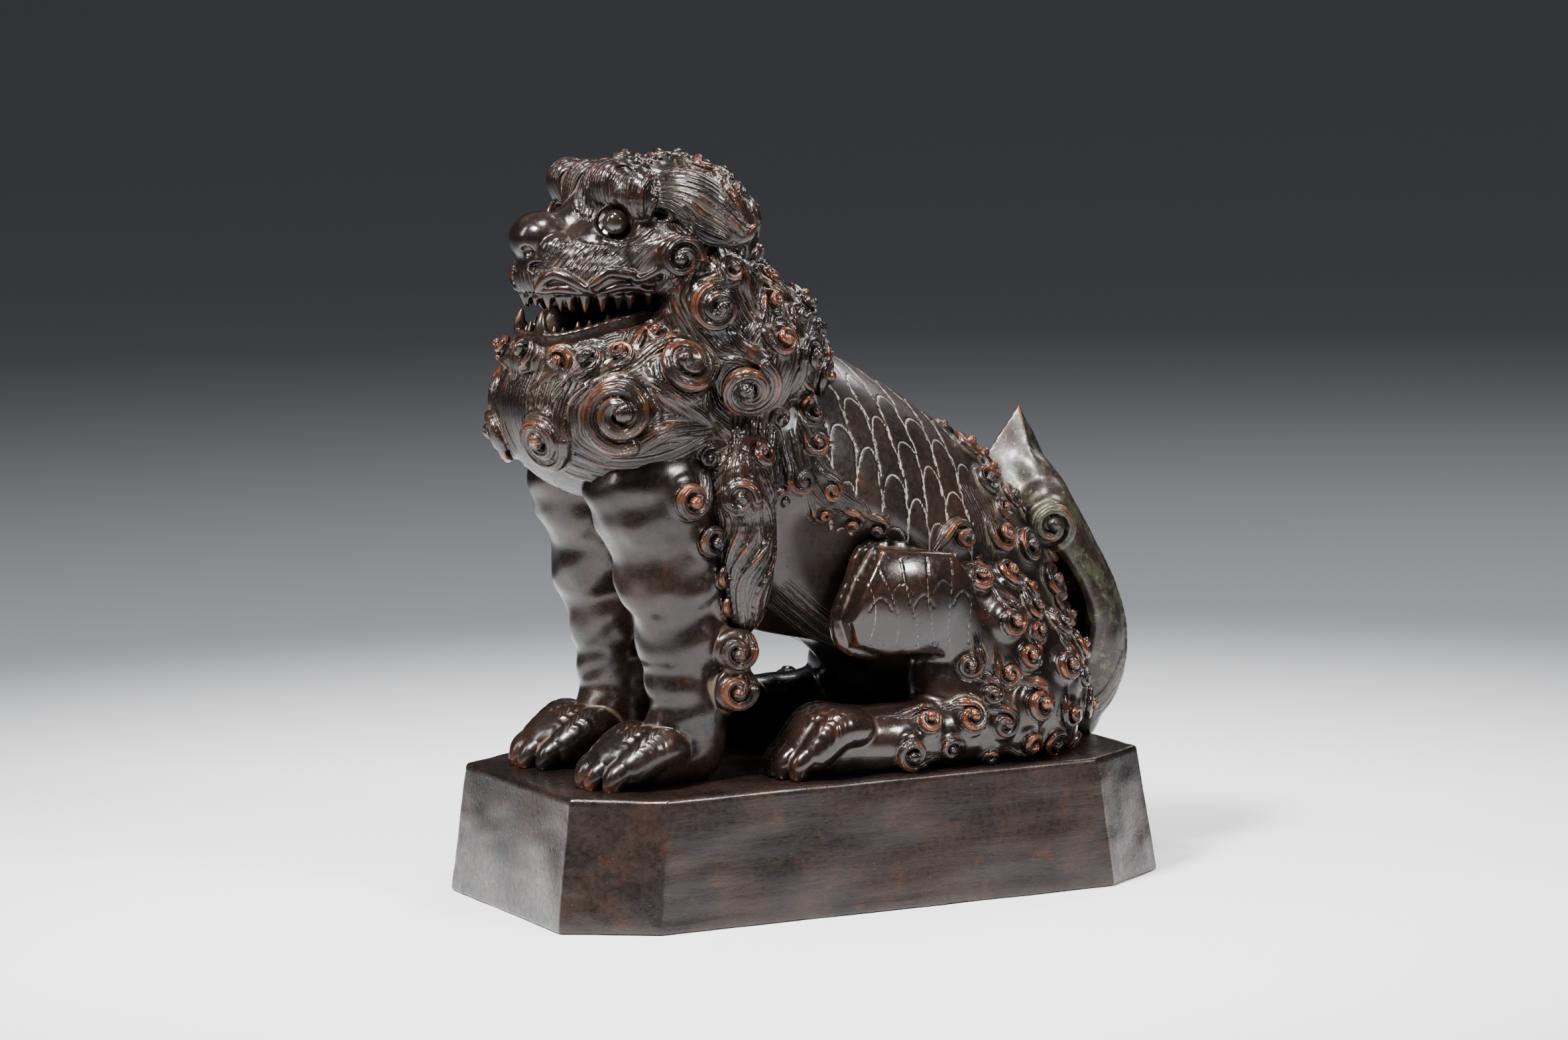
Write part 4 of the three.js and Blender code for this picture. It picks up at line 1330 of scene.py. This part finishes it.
def tail():
    f = Field((-36, 76, 47), (36, 146, 182), 0.58)
    f.chain(TAIL, k=5, flat=(unit(np.array([0, 0.95, 0.3])), 0.52))
    tip = [(18.5, 94.5, 146), (0, 112, 146), (-18.5, 94.5, 146), (0, 74, 150)]
    f.pyramid((0, 95.5, 177), tip, 134, k=2.5)
    f.both((19, 97, 136), (8.5, 11, 12), k=4)
    # each side is scooped out, with a rim round the hollow
    f.both((18, 100.5, 99), (13, 13.5, 26), (14, 0, 0), k=2.5, cut=True)
    f.freeze()
    f.chain_both(TAIL_RIM, k=2)
    pair(lock, f, (26, 94, 133), 11.0, spin=1, tail=(17, 86, 119), turns=1.4, height=0.5)
    # flame-like ridges up the back
    for x in (0, 8, 16):
        points = [(x, 122, 70), (x * 1.2, 130, 90), (x * 1.1, 123, 112), (x * 0.8, 115, 130)]
        pair(ribbon, f, points + [(x * 0.4, 107, 150)], 2.2, taper=0.2)
    for k in range(4):
        pair(ribbon, f, [(6 + k * 5, 110, 60), (10 + k * 5, 120, 66), (14 + k * 4, 128, 80)], 1.6, taper=0.3)
    f.below(SEAT - 0.4)
    s = f.mesh(1, 0.5)
    s.strands(f.locks, 1.5, only_near=0.6)
    s.push(waves(s.p, 12, 19) * 0.2)
    s.cavity()
    return s


CHAMFER = np.array([22.0, 31.0])
TAPER, WALL, EDGE = 0.055, 4.0, 1.0
SIDE_POINTS = 22


def plinth_ring(inset):
    """The plinth's outline with its cut corners, drawn in by inset, as rounded points."""
    w, l = np.array([PLINTH_HIGH.x - PLINTH_LOW.x, PLINTH_HIGH.y - PLINTH_LOW.y]) / 2 / MM - inset
    x, y = np.array([w, l]) - CHAMFER + inset * 0.4
    corners = np.array([(w, -y), (w, y), (x, l), (-x, l), (-w, y), (-w, -y), (-x, -l), (x, -l)])
    t = (np.arange(SIDE_POINTS) + 0.5) / SIDE_POINTS
    ease = (0.5 - 0.5 * np.cos(math.pi * t))[:, None]
    ring = np.vstack([a + (b - a) * ease for a, b in zip(corners, np.roll(corners, -1, axis=0))])
    return (np.roll(ring, 1, 0) + ring * 2 + np.roll(ring, -1, 0)) / 4


def plinth():
    """The plinth as rings of points: up the hollow, round the foot, up the sides and over the top."""
    rows = [(WALL, s, SEAT - WALL) for s in np.linspace(0.02, 1, 12)]
    rows += [(WALL, 1, z) for z in np.linspace(SEAT - WALL - 4, 3, 8)]
    rows += [(WALL - 0.8, 1, 0.0), (EDGE, 1, 0.0)]
    first_outer = len(rows)
    rows += [(0.2, 1, 0.5), (0.0, 1, 1.5)]
    rows += [(0.0, 1, z) for z in np.linspace(4, SEAT - 3, 18)]
    rows += [(0.0, 1, SEAT - 1.6), (0.25, 1, SEAT - 0.7), (0.8, 1, SEAT - 0.15), (EDGE + 0.4, 1, SEAT)]
    rows += [(EDGE + 1.5, s, SEAT) for s in np.linspace(0.985, 0.02, 34)]
    rings = [plinth_ring(inset) * s * (1 - TAPER * z / SEAT) for inset, s, z in rows]
    n = len(rings[0])
    p = np.vstack([np.column_stack([ring, np.full(n, row[2])]) for ring, row in zip(rings, rows)])
    i = np.arange(n)
    j = (i + 1) % n
    band = np.stack([i, j, n + j, n + i], 1)
    quads = [band + r * n for r in range(len(rows) - 1)]
    s = Surface(p, np.vstack(quads), caps=[i[::-1], (len(rows) - 1) * n + i])
    wear = waves(p, 30, 51) * 0.28 + waves(p, 9, 52) * 0.10
    s.push(np.where(np.arange(len(p)) >= first_outer * n, wear, 0) - 0.2)
    s.blank("hair", "strand", "line", "cav")
    # the outer edges read as proud, so that their patina wears to copper
    inset = np.repeat([row[0] if row[1] == 1 else WALL for row in rows], n)
    high = p[:, 2]
    top_edge = (high > SEAT - 1.0) & (inset < EDGE + 1) & (inset > 0.1)
    foot_edge = (high < 1.6) & (inset < EDGE + 0.4)
    s.values["wide"] = np.where(top_edge | foot_edge, -0.36, 0.0)
    return s


mane().piece("mane_hair", "lion", BRONZE, "bronze", "mane")
jaw().piece("jaw_and_teeth", "lion", SMOOTH, "bronze", "lower_jaw")
head().piece("head_face", "lion", BRONZE, "bronze", "head")
torso().piece("torso_scales", "lion", SCALES, "bronze", "torso")
fore, hind = fore_leg(), hind_leg()
eye = bead_ball(EYE + EYE_OUT * 1.2, 4.7)
for hand, flip in (("left", False), ("right", True)):
    fore.piece("foreleg_skin_" + hand, "lion", SMOOTH, "bronze", "foreleg_" + hand, flip=flip)
    hind.piece("hindleg_skin_" + hand, "lion", BRONZE, "bronze", "hindleg_" + hand, flip=flip)
    eye.piece("eye_bead_" + hand, "lion", EYE_GLOSS, "eye_bead", "eye_" + hand, flip=flip)
tail().piece("tail_flame", "lion", TAIL_BRONZE, "tail_bronze", "tail")
plinth().piece("plinth_cast", "lion", PLINTH_BRONZE, "plinth_bronze", "plinth")
PEARL_LOW, PEARL_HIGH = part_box("pearl")
pearl_middle = (np.array((PEARL_LOW + PEARL_HIGH) / 2) - ORIGIN) / MM
pearl = bead_ball(pearl_middle, (PEARL_HIGH.x - PEARL_LOW.x) / 2 / MM - 0.05)
pearl.piece("mouth_ball_cast", "pearl", BALL, "mouth_ball", "pearl")
for name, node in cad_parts.items():
    if name.startswith(("screw", "washer", "tail_cotter")) or "rivet" in name:
        node.data.materials.clear()
        node.data.materials.append(FIXING)


# ---------------------------------------------------------------- camera, light, floor
LIGHT_AIM = 0.14  # the height that the lights point at, in metres
CAMERA = {"azimuth": 64.282, "elevation": 6.562, "distance": 2028.1, "roll": -1.090, "lens": 122.17}
CAMERA_AIM = (-12.57, 0, 137.15)
LIGHTS = {
    # azimuth from the lion's front, elevation, distance and size in metres, watts
    "key": (25, 50, 1.5, (0.28, 0.28), 66),
    "front": (-12, 30, 1.6, (0.14, 0.8), 10),
    "side": (112, 34, 1.7, (0.26, 0.26), 26),
    "top": (60, 78, 1.4, (0.32, 0.32), 26),
    "back": (215, 40, 1.8, (0.6, 0.5), 12),
}


def direction(azimuth, elevation):
    """The direction from the lion towards that azimuth from its front and that height above the floor."""
    a, e = math.radians(azimuth), math.radians(elevation)
    return Vector((math.sin(a) * math.cos(e), -math.cos(a) * math.cos(e), math.sin(e)))


def camera():
    a, r = math.radians(CAMERA["azimuth"]), math.radians(CAMERA["roll"])
    back = direction(CAMERA["azimuth"], CAMERA["elevation"])
    right = Vector((math.cos(a), math.sin(a), 0))
    up = back.cross(right)
    right, up = right * math.cos(r) + up * math.sin(r), up * math.cos(r) - right * math.sin(r)
    data = bpy.data.cameras.new("camera")
    data.lens = CAMERA["lens"]
    data.sensor_width = 36
    data.clip_end = 50
    obj = bpy.data.objects.new("camera", data)
    place = Matrix((right, up, back)).transposed().to_4x4()
    place.translation = Vector(ORIGIN) + Vector(CAMERA_AIM) * MM + back * CAMERA["distance"] * MM
    obj.matrix_world = place
    bpy.context.scene.collection.objects.link(obj)
    bpy.context.scene.camera = obj


def area_light(name, azimuth, elevation, distance, size, power):
    back = direction(azimuth, elevation)
    data = bpy.data.lights.new(name, "AREA")
    data.shape = "RECTANGLE"
    data.size, data.size_y = size
    data.energy = power
    obj = bpy.data.objects.new(name, data)
    obj.location = Vector((ORIGIN[0], ORIGIN[1], LIGHT_AIM)) + back * distance
    obj.rotation_euler = back.to_track_quat("Z", "Y").to_euler()
    bpy.context.scene.collection.objects.link(obj)


def floor_mesh(around=96):
    """A flat floor that curves up all round, so that no edge of it shows."""
    flat, rise = 2.6, 2.2
    rings = [(0.02, 0.0), (1.2, 0.0), (flat, 0.0)]
    for a in np.linspace(0.1, 1.0, 10) * math.pi / 2:
        rings.append((flat + rise * math.sin(a), rise - rise * math.cos(a)))
    rings.append((flat + rise, 3.4))
    points, faces = [], [list(range(around))]
    for radius, z in rings:
        for k in range(around):
            a = 2 * math.pi * k / around
            points.append((radius * math.cos(a), radius * math.sin(a), z))
    for r in range(len(rings) - 1):
        for k in range(around):
            j = (k + 1) % around
            faces.append((r * around + k, r * around + j, (r + 1) * around + j, (r + 1) * around + k))
    data = bpy.data.meshes.new("floor")
    data.from_pydata(points, [], faces)
    data.shade_smooth()
    return data


def floor_material():
    """A painted pool of light: pale near the statue and darker further off, the falloff of the lamps' light
    painted into the floor's colour.
    """
    s = Shader("floor_painted_light_pool")
    where = s.nodes.new("ShaderNodeSeparateXYZ")
    s.links.new(s.coords, where.inputs[0])
    x, y = where.outputs[0], where.outputs[1]
    reach = s.math("SQRT", s.plus(s.math("POWER", x, 2.0), s.math("POWER", y, 2.0)))
    # painted light: the tint falls from pale to dark with distance from the statue, as the lamps' light
    # would
    tint = s.mix(s.step(reach, 0.20, 0.80), (0.86, 0.86, 0.87), (0.135, 0.138, 0.150))
    tint = s.mix(s.step(reach, 0.8, 3.6), tint, (0.080, 0.082, 0.090))
    return s.finish(tint, 0.75, 0.0, s.bump(s.noise(3, 2), 0.02))


def stage():
    floor = bpy.data.objects.new("floor", floor_mesh())
    floor.location.z = PLINTH_LOW.z
    bpy.context.scene.collection.objects.link(floor)
    floor.data.materials.append(floor_material())
    world = bpy.data.worlds.new("studio")
    world.use_nodes = True
    sky = world.node_tree.nodes["Background"].inputs
    sky[0].default_value = (0.80, 0.84, 0.92, 1)
    sky[1].default_value = 0.25
    bpy.context.scene.world = world


camera()
stage()
for name, light in LIGHTS.items():
    area_light(name, *light)
